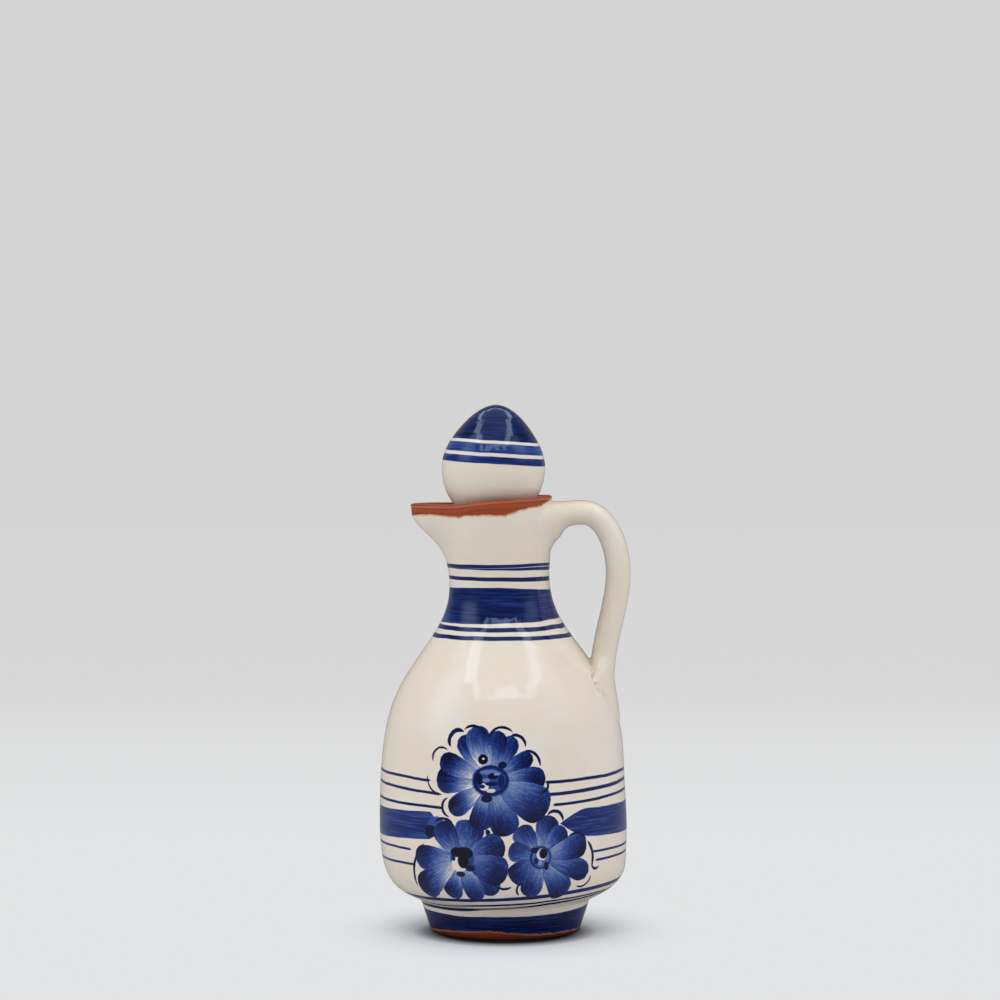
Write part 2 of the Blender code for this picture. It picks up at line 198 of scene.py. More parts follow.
def jugOutside(form):
    foot = (form["footTopRadius"], form["footHeight"])
    widest = (form["bellyRadius"], form["bellyHeight"])
    shoulder = (form["shoulderRadius"], form["shoulderHeight"])
    throat = (form["neckRadius"], form["neckHeight"])
    lip = (form["neckRadius"] + form["mouthFlare"], form["rimHeight"] - form["lipRound"])
    slope = (-math.sin(form["shoulderSlope"]), math.cos(form["shoulderSlope"]))
    cornerRise = widest[1] - foot[1]
    belowShoulder = form["shoulderDown"] * (shoulder[1] - widest[1])
    aboveShoulder = form["shoulderUp"] * (throat[1] - shoulder[1])
    mouthRise = form["rimHeight"] - throat[1]
    edge = form["footEdge"]
    start = (form["footRadius"], edge)
    bend = form["edgeBend"] * edge
    toFoot, toWidest, toShoulder, toThroat, toLip = form["rows"][1:]
    return curve((start[0] - edge, 0.0), [
        ((start[0] - bend, 0.0), (start[0], bend), start, form["rows"][0]),
        (partWay(start, foot, 0.33), partWay(start, foot, 0.67), foot, toFoot),
        ((blend(foot[0], widest[0], form["cornerOut"]), foot[1] + form["cornerUp"][0] * cornerRise),
         (widest[0], foot[1] + form["cornerUp"][1] * cornerRise), widest, toWidest),
        ((widest[0], widest[1] + form["bellyUp"] * (shoulder[1] - widest[1])),
         (shoulder[0] - belowShoulder * slope[0], shoulder[1] - belowShoulder * slope[1]),
         shoulder, toShoulder),
        ((shoulder[0] + aboveShoulder * slope[0], shoulder[1] + aboveShoulder * slope[1]),
         (throat[0], throat[1] - form["throatDown"] * (throat[1] - shoulder[1])), throat, toThroat),
        ((throat[0], throat[1] + form["throatUp"] * mouthRise),
         (throat[0] + form["lipOut"] * form["mouthFlare"], throat[1] + form["lipUp"] * mouthRise),
         lip, toLip),
    ])


def offsetBy(points, distanceAt):
    moved = []
    for i, (radius, height) in enumerate(points):
        before, after = points[max(i - 1, 0)], points[min(i + 1, len(points) - 1)]
        along = Vector((after[0] - before[0], after[1] - before[1])).normalized()
        distance = distanceAt(height)
        moved.append((radius + along.y * distance, height - along.x * distance))
    return moved


def wallAt(form, height):
    upNeck = smooth((height - form["shoulderHeight"]) / (form["neckHeight"] - form["shoulderHeight"]))
    upMouth = smooth((height - form["neckHeight"]) / (form["rimHeight"] - form["neckHeight"]))
    return blend(blend(form["bellyWall"], form["neckWall"], upNeck), form["rimWall"], upMouth)


def jugInside(form):
    # Floor, bowl and inner wall, from the axis up to the lip
    aboveFoot = [p for p in jugOutside(form) if p[1] > form["footHeight"] + form["bowlStart"]]
    wall = offsetBy(aboveFoot, lambda height: -wallAt(form, height))[::2]
    innerLip = form["neckRadius"] + form["mouthFlare"] - form["rimWall"]
    wall[-1] = (innerLip, form["rimHeight"] - form["lipRound"])
    start, after = wall[:2]
    along = Vector((after[0] - start[0], after[1] - start[1])).normalized()
    reach = form["bowlDown"] * start[0]
    bowl = bezier((0.0, form["floor"]), (form["bowlOut"] * start[0], form["floor"]),
                  (start[0] - along.x * reach, start[1] - along.y * reach), start, form["bowlRows"])
    return [(0.0, form["floor"])] + bowl + wall[1:]


def lipArc(form):
    outer = form["neckRadius"] + form["mouthFlare"]
    steps = form["lipRows"]
    half = form["rimWall"] / 2
    points = []
    for i in range(1, steps):
        angle = math.pi * (1 - i / steps)
        across = math.copysign(abs(math.cos(angle)) ** form["lipSquare"], math.cos(angle))
        up = math.sin(angle) ** form["lipSquare"]
        points.append((outer - half + half * across, form["rimHeight"] - form["lipRound"] * (1 - up)))
    return points


def leanAt(form, height):
    shift = (height / form["footHeight"] - form["offsetStart"]) / (form["offsetEnd"] - form["offsetStart"])
    upNeck = max(height - form["leanStart"], 0.0) / (form["rimHeight"] - form["leanStart"])
    return -form["footOffset"] * smooth(shift) - form["neckLean"] * upNeck ** form["leanCurve"]


def handShaped(form, point):
    # Where a point of the turned form goes when the spout is pulled
    root = form["neckHeight"] + form["spoutRoot"]
    rise = smooth((point.z - root) / (form["rimHeight"] - form["spoutTop"] - root))
    radius = math.hypot(point.x, point.y)
    angle = math.atan2(point.y, -point.x)
    pull = form["spoutPull"] * rise ** form["spoutCurve"] * bump(angle, 0.0, form["spoutSpread"])
    fingers = rise * bump(abs(angle), form["pinchAngle"], form["pinchSpread"])
    handleSide = max(-math.cos(angle), 0.0) ** 2
    sag = form["sag"] * bump(point.z, form["sagHeight"], form["sagSpread"])
    sag -= form["draw"] * bump(point.z, form["drawHeight"], form["drawSpread"])
    radius += pull - form["pinch"] * fingers + handleSide * sag * min(radius / form["footRadius"], 1.0)
    x = -radius * math.cos(angle)
    height = point.z + math.tan(form["rimTilt"]) * x * rise - form["pinchDip"] * fingers
    return Vector((x + leanAt(form, point.z), radius * math.sin(angle), height))


# Edges of the glaze, as depth below the lip or height above the table in mm, by degrees
# from the front (the handle is at 90, the spout at -90)
glazeEdge = {
    "rim": [(-180, 4.4), (-140, 5.2), (-110, 4.3), (-88, 4.7), (-77, 4.4), (-62, 4.1), (-51, 4.8),
            (-38, 5.3), (-31, 4.9), (-20, 5.5), (-7, 5.9), (9, 6.6), (17, 5.6), (29, 4.5), (40, 4.0),
            (54, 3.7), (58, 2.9), (69, 2.2), (83, 1.0), (100, 1.2), (125, 3.2), (150, 4.6), (180, 4.4)],
    "foot": [(-180, 2.0), (-140, 1.2), (-100, 0.9), (-73, 1.0), (-37, 2.4), (-10, 3.3), (4, 2.6), (20, 1.8),
             (42, 1.6), (72, 1.3), (110, 1.0), (150, 2.2), (180, 2.0)],
    "inside": 5.0,                            # depth of the wiped band inside the mouth
    "ragged": 0.35,                           # mm by which the edge wanders
    "raggedEvery": 2.2 * mm,
}


def bareClayAt(form, edge, turned, outer):
    # Distance past the glaze's edge in mm: above 0 on bare clay, below 0 on glaze
    degrees = math.degrees(math.atan2(turned.x, -turned.y))
    ragged = noise.fractal(turned / edge["raggedEvery"], 0.8, 2.0, 3) * edge["ragged"]
    belowLip = (form["rimHeight"] - turned.z) / mm
    if turned.z < form["footHeight"] and outer:
        return between(degrees, edge["foot"]) - turned.z / mm + ragged
    if outer:
        return between(degrees, edge["rim"]) - belowLip + ragged
    return edge["inside"] - belowLip + ragged


def makeJug(form, edge, material):
    outline = jugInside(form) + lipArc(form) + jugOutside(form)[::-1] + [(0.0, 0.0)]
    bm = turnedBmesh(outline, form["steps"])
    bare = bm.verts.layers.float.new("bareClay")
    thrown = bm.verts.layers.float_vector.new("thrown")
    outside = bm.verts.layers.float.new("outside")
    middle = {}
    for vert in bm.verts:
        turned = vert.co.copy()
        radius = math.hypot(turned.x, turned.y)
        outer = radius > outsideRadius(turned.z) - wallAt(form, turned.z) / 2 or turned.z < form["floor"]
        past = bareClayAt(form, edge, turned, outer)
        vert[bare] = past
        vert[thrown] = turned
        vert[outside] = 1.0 if outer else 0.0
        middle[vert] = (radius, past, outer)
    bm.normal_update()
    for vert in bm.verts:
        radius, past, outer = middle[vert]
        worn = smooth(past / form["glazeRoll"] + 0.5) * form["glazeCoat"]
        wave = math.sin(math.tau * vert.co.z / form["throwPitch"] + form["throwStart"])
        inwards = worn
        if past < 0:
            inwards += form["throwRings"] * (0.5 + 0.5 * wave)
        if outer:
            grooveHeight = form["rimHeight"] - form["grooveDrop"]
            inwards += form["groove"] * bump(vert.co.z, grooveHeight, form["grooveSpread"])
        if vert.co.z > form["footEdge"] and radius > form["footRadius"] / 3:
            vert.co -= vert.normal * inwards
    for vert in bm.verts:
        vert.co = handShaped(form, vert.co)
    return meshPiece("thrownJug", bm, material)


jugProfile = jugOutside(jugForm)


def outsideRadius(height):
    for low, high in zip(jugProfile, jugProfile[1:]):
        if low[1] <= height <= high[1]:
            return blend(low[0], high[0], (height - low[1]) / max(high[1] - low[1], 1e-9))
    return jugProfile[-1][0]


# Handle: a pulled strap whose roots are smoothed into the wall

handleForm = {
    "thickness": 10.4 * mm, "width": 21.5 * mm, "fingerGap": 22.2 * mm,
    "crownDrop": 0.6 * mm, "crownShare": 0.57, "elbowDrop": 30.0 * mm,
    "upperRootDrop": 14.0 * mm, "upperSink": 6.5 * mm,
    "lowerRootHeight": 102.0 * mm, "lowerStand": 1.0 * mm,
    "endHeight": 80.0 * mm, "endSink": 0.6 * mm, "tailBow": 1.4 * mm,
    "rootSwell": 0.65, "swellLength": 5.5 * mm,
    "upperSpread": 3.0 * mm, "lowerSpread": 7.0 * mm,
    "spreadStart": 112.0 * mm, "spreadEnd": 97.5 * mm,
    "tongueTop": 94.5 * mm, "tongueClose": 0.985,
    "ringStep": 0.55 * mm, "ringSteps": 72,
    "squareness": 0.86,                       # 1 is an oval section, less is flatter-sided
    "upperFillet": 3.2 * mm, "lowerFillet": 1.6 * mm,
    "rimClear": 2.0 * mm, "rimFade": 9.0 * mm,  # the fillet dies out below the rim
    "thumbDent": 0.35 * mm, "dentSpread": 0.45,  # the strap's face is a little hollow along its middle
    "closing": [0.06, 0.3, 0.5, 0.7, 0.85],   # shares of the section that close each end inside the wall
    "core": 2.5 * mm,                         # round the strap's middle line, where nothing rolls outwards
    "seamReach": 1.5 * mm,                    # how far from the wall the smeared seam shows
    "deepest": 2.4 * mm,                      # how far the strap's ends reach into the jug's wall
    # How far the spine's handles reach between its root, crown, elbow, landing and end, as shares
    "rootOut": (0.22, 0.62), "crownBefore": 0.50, "crownAfter": 0.60, "elbowAbove": 0.50, "elbowBelow": 0.31,
    "landingAbove": (0.06, 0.35), "tail": (0.33, 0.66),
}


def wallX(height):
    return leanAt(jugForm, height) + outsideRadius(height)


def strapSpine(form):
    half = form["thickness"] / 2
    rootHeight = jugForm["rimHeight"] - form["upperRootDrop"]
    root = (wallX(rootHeight) - form["upperSink"], rootHeight)
    elbowHeight = jugForm["rimHeight"] - form["elbowDrop"]
    elbow = (wallX(elbowHeight) + form["fingerGap"] + half, elbowHeight)
    crown = (blend(root[0], elbow[0], form["crownShare"]), jugForm["rimHeight"] - form["crownDrop"] - half)
    lowHeight = form["lowerRootHeight"]
    landing = (wallX(lowHeight) + form["lowerStand"], lowHeight)
    end = (wallX(form["endHeight"]) - form["endSink"] - half, form["endHeight"])
    fall = elbowHeight - lowHeight
    low, high = form["tail"]
    rootOut, rootUp = form["rootOut"]
    landingOut, landingUp = form["landingAbove"]
    line = curve(root, [
        ((blend(root[0], crown[0], rootOut), blend(rootHeight, crown[1], rootUp)),
         (blend(root[0], crown[0], form["crownBefore"]), crown[1]), crown, 60),
        ((blend(crown[0], elbow[0], form["crownAfter"]), crown[1]),
         (elbow[0], blend(elbowHeight, crown[1], form["elbowAbove"])), elbow, 60),
        ((elbow[0], elbowHeight - form["elbowBelow"] * fall),
         (blend(landing[0], elbow[0], landingOut), lowHeight + landingUp * fall), landing, 80),
        ((landing[0], blend(lowHeight, form["endHeight"], low)),
         (end[0] + form["tailBow"], blend(lowHeight, form["endHeight"], high)), end, 60),
    ])
    return evenSteps(line, form["ringStep"])


def evenSteps(line, step):
    points = [line[0]]
    ahead = step
    for before, after in zip(line, line[1:]):
        length = math.dist(before, after)
        while ahead <= length:
            points.append(partWay(before, after, ahead / length))
            ahead += step
        ahead -= length
    return points + [line[-1]]


def strapSection(form, point, length):
    # Half thickness, half width and how far the section is pressed round the wall
    atNeck = bump(max(length - form["upperSink"], 0.0), 0.0, form["swellLength"])
    atShoulder = smooth((form["spreadStart"] - point[1]) / (form["spreadStart"] - form["spreadEnd"]))
    tongue = max(form["tongueTop"] - point[1], 0.0) / (form["tongueTop"] - form["endHeight"])
    width = form["width"] / 2 + form["upperSpread"] * atNeck + form["lowerSpread"] * atShoulder
    width *= math.sqrt(1 - (form["tongueClose"] * tongue) ** 2)
    return form["thickness"] / 2 * (1 + form["rootSwell"] * atNeck), width, max(atNeck, atShoulder)


def makeHandle(form, material):
    spine = strapSpine(form)
    bm = bmesh.new()
    press = bm.verts.layers.float.new("press")
    station = bm.verts.layers.float.new("station")
    seam = bm.verts.layers.float.new("seam")
    ring = bmesh.ops.create_circle(bm, segments=form["ringSteps"], radius=1.0)["verts"]
    for vert in ring:                         # squarer than an oval, hollow along the middle
        across, out = vert.co.x, vert.co.y
        out = math.copysign(abs(out) ** form["squareness"], out)
        dent = form["thumbDent"] / form["thickness"] * 2 * bump(across, 0.0, form["dentSpread"])
        vert.co = (across, out * (1 - dent), 0.0)
    edges = list(bm.edges)
    placed = Matrix.Identity(4)
    length = 0.0
    spans = [(0, share) for share in form["closing"]] + [(i, 1.0) for i in range(len(spine))]
    spans += [(len(spine) - 1, share) for share in form["closing"][::-1]]
    for i, grown in spans:
        point = spine[i]
        before, after = spine[max(i - 1, 0)], spine[min(i + 1, len(spine) - 1)]
        length += math.dist(point, before)
        along = Vector((after[0] - before[0], 0.0, after[1] - before[1])).normalized()
        outwards = Vector((0, 1, 0)).cross(along)
        thickness, width, share = strapSection(form, point, length)
        place = Matrix((
            (0.0, outwards.x * thickness * grown, along.x, point[0]),
            (width * grown, 0.0, 0.0, 0.0),
            (0.0, outwards.z * thickness * grown, along.z, point[1]),
            (0.0, 0.0, 0.0, 1.0)))
        if placed != Matrix.Identity(4):
            added = bmesh.ops.extrude_edge_only(bm, edges=edges)["geom"]
            ring = [part for part in added if isinstance(part, bmesh.types.BMVert)]
            edges = [part for part in added if isinstance(part, bmesh.types.BMEdge)]
        bmesh.ops.transform(bm, matrix=place @ placed.inverted(), verts=ring)
        placed = place
        for vert in ring:
            vert[press] = share
            vert[station] = i
    bmesh.ops.holes_fill(bm, edges=[edge for edge in bm.edges if edge.is_boundary], sides=0)
    for vert in bm.verts:
        wall = outsideRadius(vert.co.z)
        vert.co.x -= vert[press] * (wall - math.sqrt(max(wall ** 2 - vert.co.y ** 2, 0.0)))
    rollIntoWall(bm, station, seam, spine, form)
    bmesh.ops.recalc_face_normals(bm, faces=bm.faces)
    return meshPiece("pulledHandle", bm, material)


def outerSkin(form):
    bm = turnedBmesh(jugOutside(form), form["steps"])
    for vert in bm.verts:
        vert.co = handShaped(form, vert.co)
    # Sorted, so that a tie for the nearest face falls the same way in each run
    bm.faces.sort(key=lambda face: face.calc_center_median().dot((1.0, 3.0, 7.0)))
    skin = BVHTree.FromBMesh(bm)
    bm.free()
    return skin


def rollIntoWall(bm, station, seam, spine, form):
    # Near the jug's wall the strap rolls outwards in a fillet that ends along the wall,
    # and inside the wall it stops at one depth
    skin = outerSkin(jugForm)
    for vert in bm.verts:
        near, normal, _, _ = skin.find_nearest(vert.co)
        if normal.x * (near.x - leanAt(jugForm, near.z)) + normal.y * near.y < 0:
            normal.negate()
        away = (vert.co - near).dot(normal)
        rim = jugForm["rimHeight"] + math.tan(jugForm["rimTilt"]) * near.x
        below = smooth((rim - form["rimClear"] - vert.co.z) / form["rimFade"])
        fillet = below * form["upperFillet"] if vert.co.z > jugForm["neckHeight"] else form["lowerFillet"]
        vert[seam] = 1 - smooth(away / form["seamReach"]) if vert.co.z < form["spreadStart"] else 0.0
        if away < -form["deepest"]:
            vert.co = near - normal * form["deepest"]
        if away > fillet:
            continue
        x, z = spine[int(round(vert[station]))]
        out = vert.co - Vector((x, 0.0, z))
        out -= normal * out.dot(normal)
        if out.length > form["core"]:
            depth = fillet - max(away, 0.0)
            vert.co += out.normalized() * (fillet - math.sqrt(fillet ** 2 - depth ** 2))


# Stopper: a hollow egg-shaped knob, and the cork that it is glued into

knobForm = {
    "gap": 1.1 * mm, "overhang": 2.6 * mm, "height": 24.72 * mm,
    "shoulderRadius": 11.6 * mm, "shoulderHeight": 18.1 * mm,
    "shift": 0.7 * mm, "shiftRise": 8.0 * mm,   # the egg sits a little off its peg, towards the spout
    "rise": 12.3 * mm, "underside": 19.0 * mm, "belly": 23.6 * mm, "wall": 4.5 * mm, "floorOut": 0.80,
    "tilt": math.radians(3.6),
    "pegRadius": 5.5 * mm, "pegLength": 11.0 * mm, "ventRadius": 1.5 * mm, "pegEdge": 0.6 * mm,
    "steps": 160, "bowlRows": 30, "domeRows": (34, 30), "hollowRows": (10, 8),
    "turningRings": 0.03 * mm, "turningPitch": 3.4 * mm, "unturned": 2.0 * mm,  # plain beside the peg's seat
    # How far the dome's handles reach, as shares of its shoulder's place and of the way past it
    "sideUp": 0.36, "shoulderBelow": (0.50, 0.72), "shoulderAbove": (0.745, 0.50), "tipOut": 0.36,
}
corkForm = {
    "shift": 0.2 * mm, "belowThroat": 2.6 * mm, "taper": 0.05, "edge": 0.6 * mm,
    "clearance": 0.3 * mm, "glue": 0.3 * mm,
    "steps": 180, "rowStep": 0.45 * mm,
    "pitEvery": 2.4 * mm, "pitDepth": 0.45 * mm, "pitShare": 0.30, "pitSteep": 4.0, "pitStretch": 1.6,
    "grainShare": 0.4, "grain": 0.15,         # finer grain roughens the pits' edges
    "whole": (1.5 * mm, 0.5 * mm, 1.0 * mm),  # no pits beside the bore, at the top edge and under the bore
    "topRows": 16, "bottomRows": 24, "bottomOut": (0.3, 0.6),
    "slack": 0.1 * mm,                        # a corner this little below the bore's end is still in it
}
mouthBore = jugForm["neckRadius"] + jugForm["mouthFlare"] - jugForm["rimWall"]
throatBore = jugForm["neckRadius"] - jugForm["neckWall"]
knobRadius = mouthBore - knobForm["gap"] + knobForm["overhang"]
knobX = leanAt(jugForm, jugForm["rimHeight"]) + knobForm["rise"] * math.tan(knobForm["tilt"])
knobPlace = (Matrix.Translation((knobX, 0.0, jugForm["rimHeight"] + knobForm["rise"]))
             @ Matrix.Rotation(knobForm["tilt"], 4, "Y"))


def knobDome(form, wall, rows):
    radius = knobRadius - wall
    height = form["height"] - wall
    inwards = wall * math.sqrt(0.5)
    shoulder = (form["shoulderRadius"] - inwards, form["shoulderHeight"] - inwards)
    inside, below = form["shoulderBelow"]
    outside, above = form["shoulderAbove"]
    return curve((radius, 0.0), [
        ((radius, form["sideUp"] * shoulder[1]), (blend(shoulder[0], radius, inside), below * shoulder[1]),
         shoulder, rows[0]),
        ((outside * shoulder[0], blend(shoulder[1], height, above)), (form["tipOut"] * shoulder[0], height),
         (0.0, height), rows[1]),
    ])[1:]


def makeKnob(form, material):
    bowl = []
    for i in range(1, form["bowlRows"] + 1):
        depth = form["underside"] * i / form["bowlRows"]
        bowl.append((knobRadius * math.sqrt(1 - (depth / form["belly"]) ** 2), -depth))
    innerRadius = knobRadius - form["wall"]
    innerFloor = form["underside"] - form["wall"]
    flat = innerRadius / 2
    hollow = [(flat, -innerFloor)]
    hollow += bezier(hollow[0], (form["floorOut"] * innerRadius, -innerFloor),
                     (innerRadius, -innerFloor / 2), (innerRadius, 0.0), form["hollowRows"][0])
    hollow += knobDome(form, form["wall"], form["hollowRows"])
    pegEnd = -form["underside"] - form["pegLength"]
    peg = [(form["pegRadius"], -form["underside"]), (form["pegRadius"], pegEnd + form["pegEdge"]),
           (form["pegRadius"] - form["pegEdge"], pegEnd)]
    vent = [(form["ventRadius"], pegEnd), (form["ventRadius"], -innerFloor)]
    outline = knobDome(form, 0.0, form["domeRows"])[::-1] + [(knobRadius, 0.0)] + bowl + peg + vent + hollow
    bm = turnedBmesh(outline, form["steps"])
    thrown = bm.verts.layers.float_vector.new("thrown")
    clear = form["unturned"]
    bm.normal_update()
    for vert in bm.verts:
        vert[thrown] = vert.co
        radius = math.hypot(vert.co.x, vert.co.y)
        outside = radius > form["pegRadius"] + clear and vert.co.z > clear - form["underside"]
        if outside and vert.normal.dot(vert.co) > 0:
            rings = 0.5 + 0.5 * math.sin(math.tau * vert.co.z / form["turningPitch"])
            vert.co -= vert.normal * form["turningRings"] * rings
    for vert in bm.verts:
        vert.co.x -= form["shift"] * smooth((vert.co.z + form["underside"]) / form["shiftRise"])
    bmesh.ops.transform(bm, matrix=knobPlace, verts=bm.verts)
    return meshPiece("eggKnob", bm, material)


def makeCork(form, knob, material):
    # The blank is turned, its top is cut along the knob's tilted underside, and its bore takes the peg
    seat = throatBore - form["clearance"] - form["shift"]
    centre = leanAt(jugForm, jugForm["neckHeight"]) - form["shift"]
    bottom = -form["belowThroat"]
    top = (knobPlace @ Vector((0, 0, -knob["underside"] - form["glue"]))).z - jugForm["neckHeight"]
    rows = int((top - bottom) / form["rowStep"])
    lowRadius = seat + form["taper"] * bottom
    side = [(seat + form["taper"] * blend(bottom + form["edge"], top, i / rows),
             blend(bottom + form["edge"], top, i / rows)) for i in range(rows + 1)]
    bore = knob["pegRadius"] + form["glue"]
    boreEnd = top - knob["pegLength"]
    beside, under, beneath = form["whole"]
    inner, outer = (share * lowRadius for share in form["bottomOut"])
    below = bezier((0.0, bottom), (inner, bottom), (outer, bottom), (lowRadius - form["edge"], bottom),
                   form["bottomRows"])
    outline = [(0.0, boreEnd), (bore, boreEnd), (bore, top)]
    outline += [(blend(bore, side[-1][0], i / form["topRows"]), top) for i in range(1, form["topRows"])]
    outline += side[::-1] + below[::-1] + [(0.0, bottom)]
    bm = turnedBmesh(outline, form["steps"])
    bm.normal_update()
    for vert in bm.verts:
        radius = math.hypot(vert.co.x, vert.co.y)
        if radius > bore + beside and vert.co.z < top - under or vert.co.z < boreEnd - beneath:
            squeezed = Vector((vert.co.x, vert.co.y, vert.co.z * form["pitStretch"]))
            pit = noise.noise(squeezed / form["pitEvery"])
            grain = noise.fractal(vert.co / (form["grainShare"] * form["pitEvery"]), 1.0, 2.0, 3)
            deep = smooth((pit - form["pitShare"]) * form["pitSteep"] + form["grain"] * grain)
            vert.co -= vert.normal * form["pitDepth"] * deep
    for vert in bm.verts:                     # the bore and the top face follow the leaning knob
        x, y, z = vert.co
        radius = math.hypot(x, y)
        leaning = knobPlace @ Vector((x, y, z - top - knob["underside"] - form["glue"]))
        upright = Vector((x + centre, y, z + jugForm["neckHeight"]))
        inBore = 0.0
        if z > boreEnd - form["slack"]:
            inBore = 1 - smooth((radius - bore) / (side[-1][0] - bore))
        lifted = smooth((z - boreEnd) / (top - boreEnd))
        upright.z += (leaning.z - (z + jugForm["neckHeight"])) * lifted
        vert.co = upright.lerp(leaning, inBore)
    return meshPiece("taperedCork", bm, material)


# Painting: cobalt brushwork in the glaze. Places are mm: u goes round the jug from its front
# towards the handle, v is the height above the table.

paint = {
    "bodyRadius": 49.2,                       # turns degrees round the jug into u
    "edge": 0.16,                             # how soft a stroke's edge is
    "wobbleEvery": 14.0, "wobble": 0.42,      # the hand's unsteadiness
    "ragEvery": 1.8, "rag": 0.22,             # the brush's uneven edge
    "streak": (16.0, 16.0, 0.8),              # streaks in a broad band, and what they change in its pigment
    "streakShare": (0.30, 0.68), "streakTone": (-0.18, 0.10),
    "ringFade": 1.5,                          # a ring thins out over this length beside the flowers
    # A petal: its half width by the way along it, and its pigment from the root to the tip and at the edge
    "petalOutline": [(0.05, 0.30), (0.30, 0.72), (0.62, 0.98), (0.78, 1.0), (0.93, 0.70), (0.985, 0.30)],
    "fuller": 1.07,                           # petals overlap their neighbours a little
    "gathers": (0.14, 0.86), "edging": (0.10, 0.50), "edgeTone": 1.02,
    "sideShare": 0.15,                        # a petal is darker on one side, as the brush was loaded
    "hairEvery": 0.62, "hairStretch": 0.09, "hair": 0.60,  # tracks of the brush's hairs
    "hairShift": 53.0,                        # moves the tracks by a petal's length, so each has its own
    "onPetal": (10.0, 20.0),                  # a track is past this on every petal, and 0 beside them
    "vein": 0.20, "veinWidth": 0.020,
    "veinReach": 26.0,                        # how far from a flower's middle its petals run
    "grainEvery": 0.55, "grain": 0.44,        # mm: the pigment settles in the glaze in fine grains
    "washTone": 0.24, "dabEdge": (1.05, 0.85),
    "press": 0.35, "tendrilWidth": 0.74, "tendrilTone": 1.12,  # less press thins a tendril's ends later
    "deepest": 1.2,                           # pigment of the darkest dabs; a full stroke is 1
    "shows": (0.02, 0.28),                    # pigment that starts to cover the glaze, and that covers it
    # The cobalt's colours, from its bled edge through thin and full strokes to a dab
    "cobalt": [(0.0, "#B3B8C4"), (0.25, "#8594B4"), (0.52, "#3C5693"), (0.72, "#182C6C"), (0.86, "#0C184A"),
               (1.0, "#06070F")],
}

# Rings: height on the left, in front and on the right, thickness left and right, pigment,
# and between which u the flowers leave them out
rings = [
    {"height": (145.5, 145.8, 146.0), "thick": (1.6, 1.2), "tone": 1.00},
    {"height": (144.6, 144.6, 144.4), "thick": (0.2, 1.5), "tone": 1.00},
    {"height": (140.8, 140.6, 140.3), "thick": (1.5, 1.8), "tone": 1.02},
    {"height": (121.5, 121.1, 121.8), "thick": (1.7, 1.7), "tone": 1.00},
    {"height": (118.0, 117.9, 118.0), "thick": (1.6, 1.6), "tone": 1.00},
    {"height": (64.8, 63.8, 65.0), "thick": (1.1, 1.3), "tone": 1.04, "gap": (-30.0, 16.0)},
    {"height": (60.4, 58.9, 61.2), "thick": (1.1, 1.5), "tone": 1.04, "gap": (-25.0, 17.0)},
    {"height": (54.1, 54.4, 57.1), "thick": (1.1, 1.2), "tone": 1.04, "gap": (-24.0, 19.0)},
    {"height": (36.4, 36.2, 35.6), "thick": (1.0, 1.0), "tone": 0.96, "gap": (-40.0, 38.0)},
    {"height": (30.2, 31.6, 32.4), "thick": (1.0, 1.0), "tone": 0.96, "gap": (-38.0, 40.0)},
    {"height": (16.3, 18.3, 21.8), "thick": (1.4, 1.8), "tone": 1.00},
    {"height": (12.9, 15.5, 18.8), "thick": (0.9, 0.9), "tone": 1.10},
    {"height": (11.4, 13.6, 17.8), "thick": (1.3, 1.0), "tone": 1.12},
]
# Broad bands: their lower and upper edges
bands = [
    {"low": (123.0, 123.4, 124.5), "high": (136.8, 137.4, 136.1), "tone": 1.00},
    {"low": (-5.0, -5.0, -5.0), "high": (9.5, 9.9, 10.9), "tone": 1.05},
]
bellyBand = {"low": (39.0, 42.6, 40.6), "high": (50.6, 53.2, 52.6), "tone": 0.90,
             "gap": (-26.6, 22.3), "roundEnd": 4.0, "taperEnd": 14.0}

# Where the belly's band ends on the left, the brush was pressed down twice
bandDabs = [(-27.2, 46.4, 4.4, 4.2, 0.70), (-30.0, 44.4, 2.6, 2.7, 1.12)]

# Flowers: petals are (degrees clockwise from up, reach, width, pigment at the root and at the tip), each
# painted outwards in one press of the brush
bigFlower = {
    "centre": (-5.1, 64.9), "root": 0.16, "wash": 11.5,
    "dabs": [(0.0, 0.0, 7.4, 6.2, 1.10), (0.2, 0.2, 6.3, 5.0, 0.78), (-0.6, 3.3, 3.6, 1.0, 0.50),
             (4.2, -0.2, 1.3, 2.8, 0.98), (-2.4, -2.4, 1.9, 1.5, 0.08), (0.3, -3.8, 1.9, 0.8, 0.12),
             (-4.3, 0.6, 1.5, 2.3, 1.14), (1.0, 1.8, 2.0, 1.3, 1.14), (2.6, 2.6, 1.4, 0.6, 0.34),
             (-1.6, 0.2, 1.6, 0.7, 0.46), (0.4, -1.2, 2.6, 0.8, 1.08), (-3.2, -2.2, 1.2, 0.8, 1.00),
             (-3.0, 8.2, 2.0, 2.0, 1.18), (-2.9, 8.3, 0.5, 0.5, 0.05), (4.7, 6.0, 1.8, 1.5, 1.10),
             (-1.4, -6.8, 2.3, 1.7, 1.12)],
    "petals": [(-166.4, 19.7, 8.6, 0.26, 1.02), (-127.4, 20.4, 7.9, 0.12, 1.02),
               (161.6, 22.3, 10.7, 0.38, 1.00), (59.4, 19.2, 6.6, 0.44, 1.04),
               (29.1, 19.2, 7.0, 0.36, 0.92), (9.8, 19.4, 7.4, 0.34, 1.00),
               (-36.2, 21.0, 7.8, 0.20, 1.00), (-18.8, 21.7, 9.6, 0.14, 0.84),
               (87.8, 21.8, 8.8, 0.44, 1.04), (-90.4, 22.4, 9.8, 0.18, 1.04),
               (-69.8, 22.6, 8.0, 0.20, 1.04), (117.5, 25.4, 14.0, 0.46, 0.98)],
}
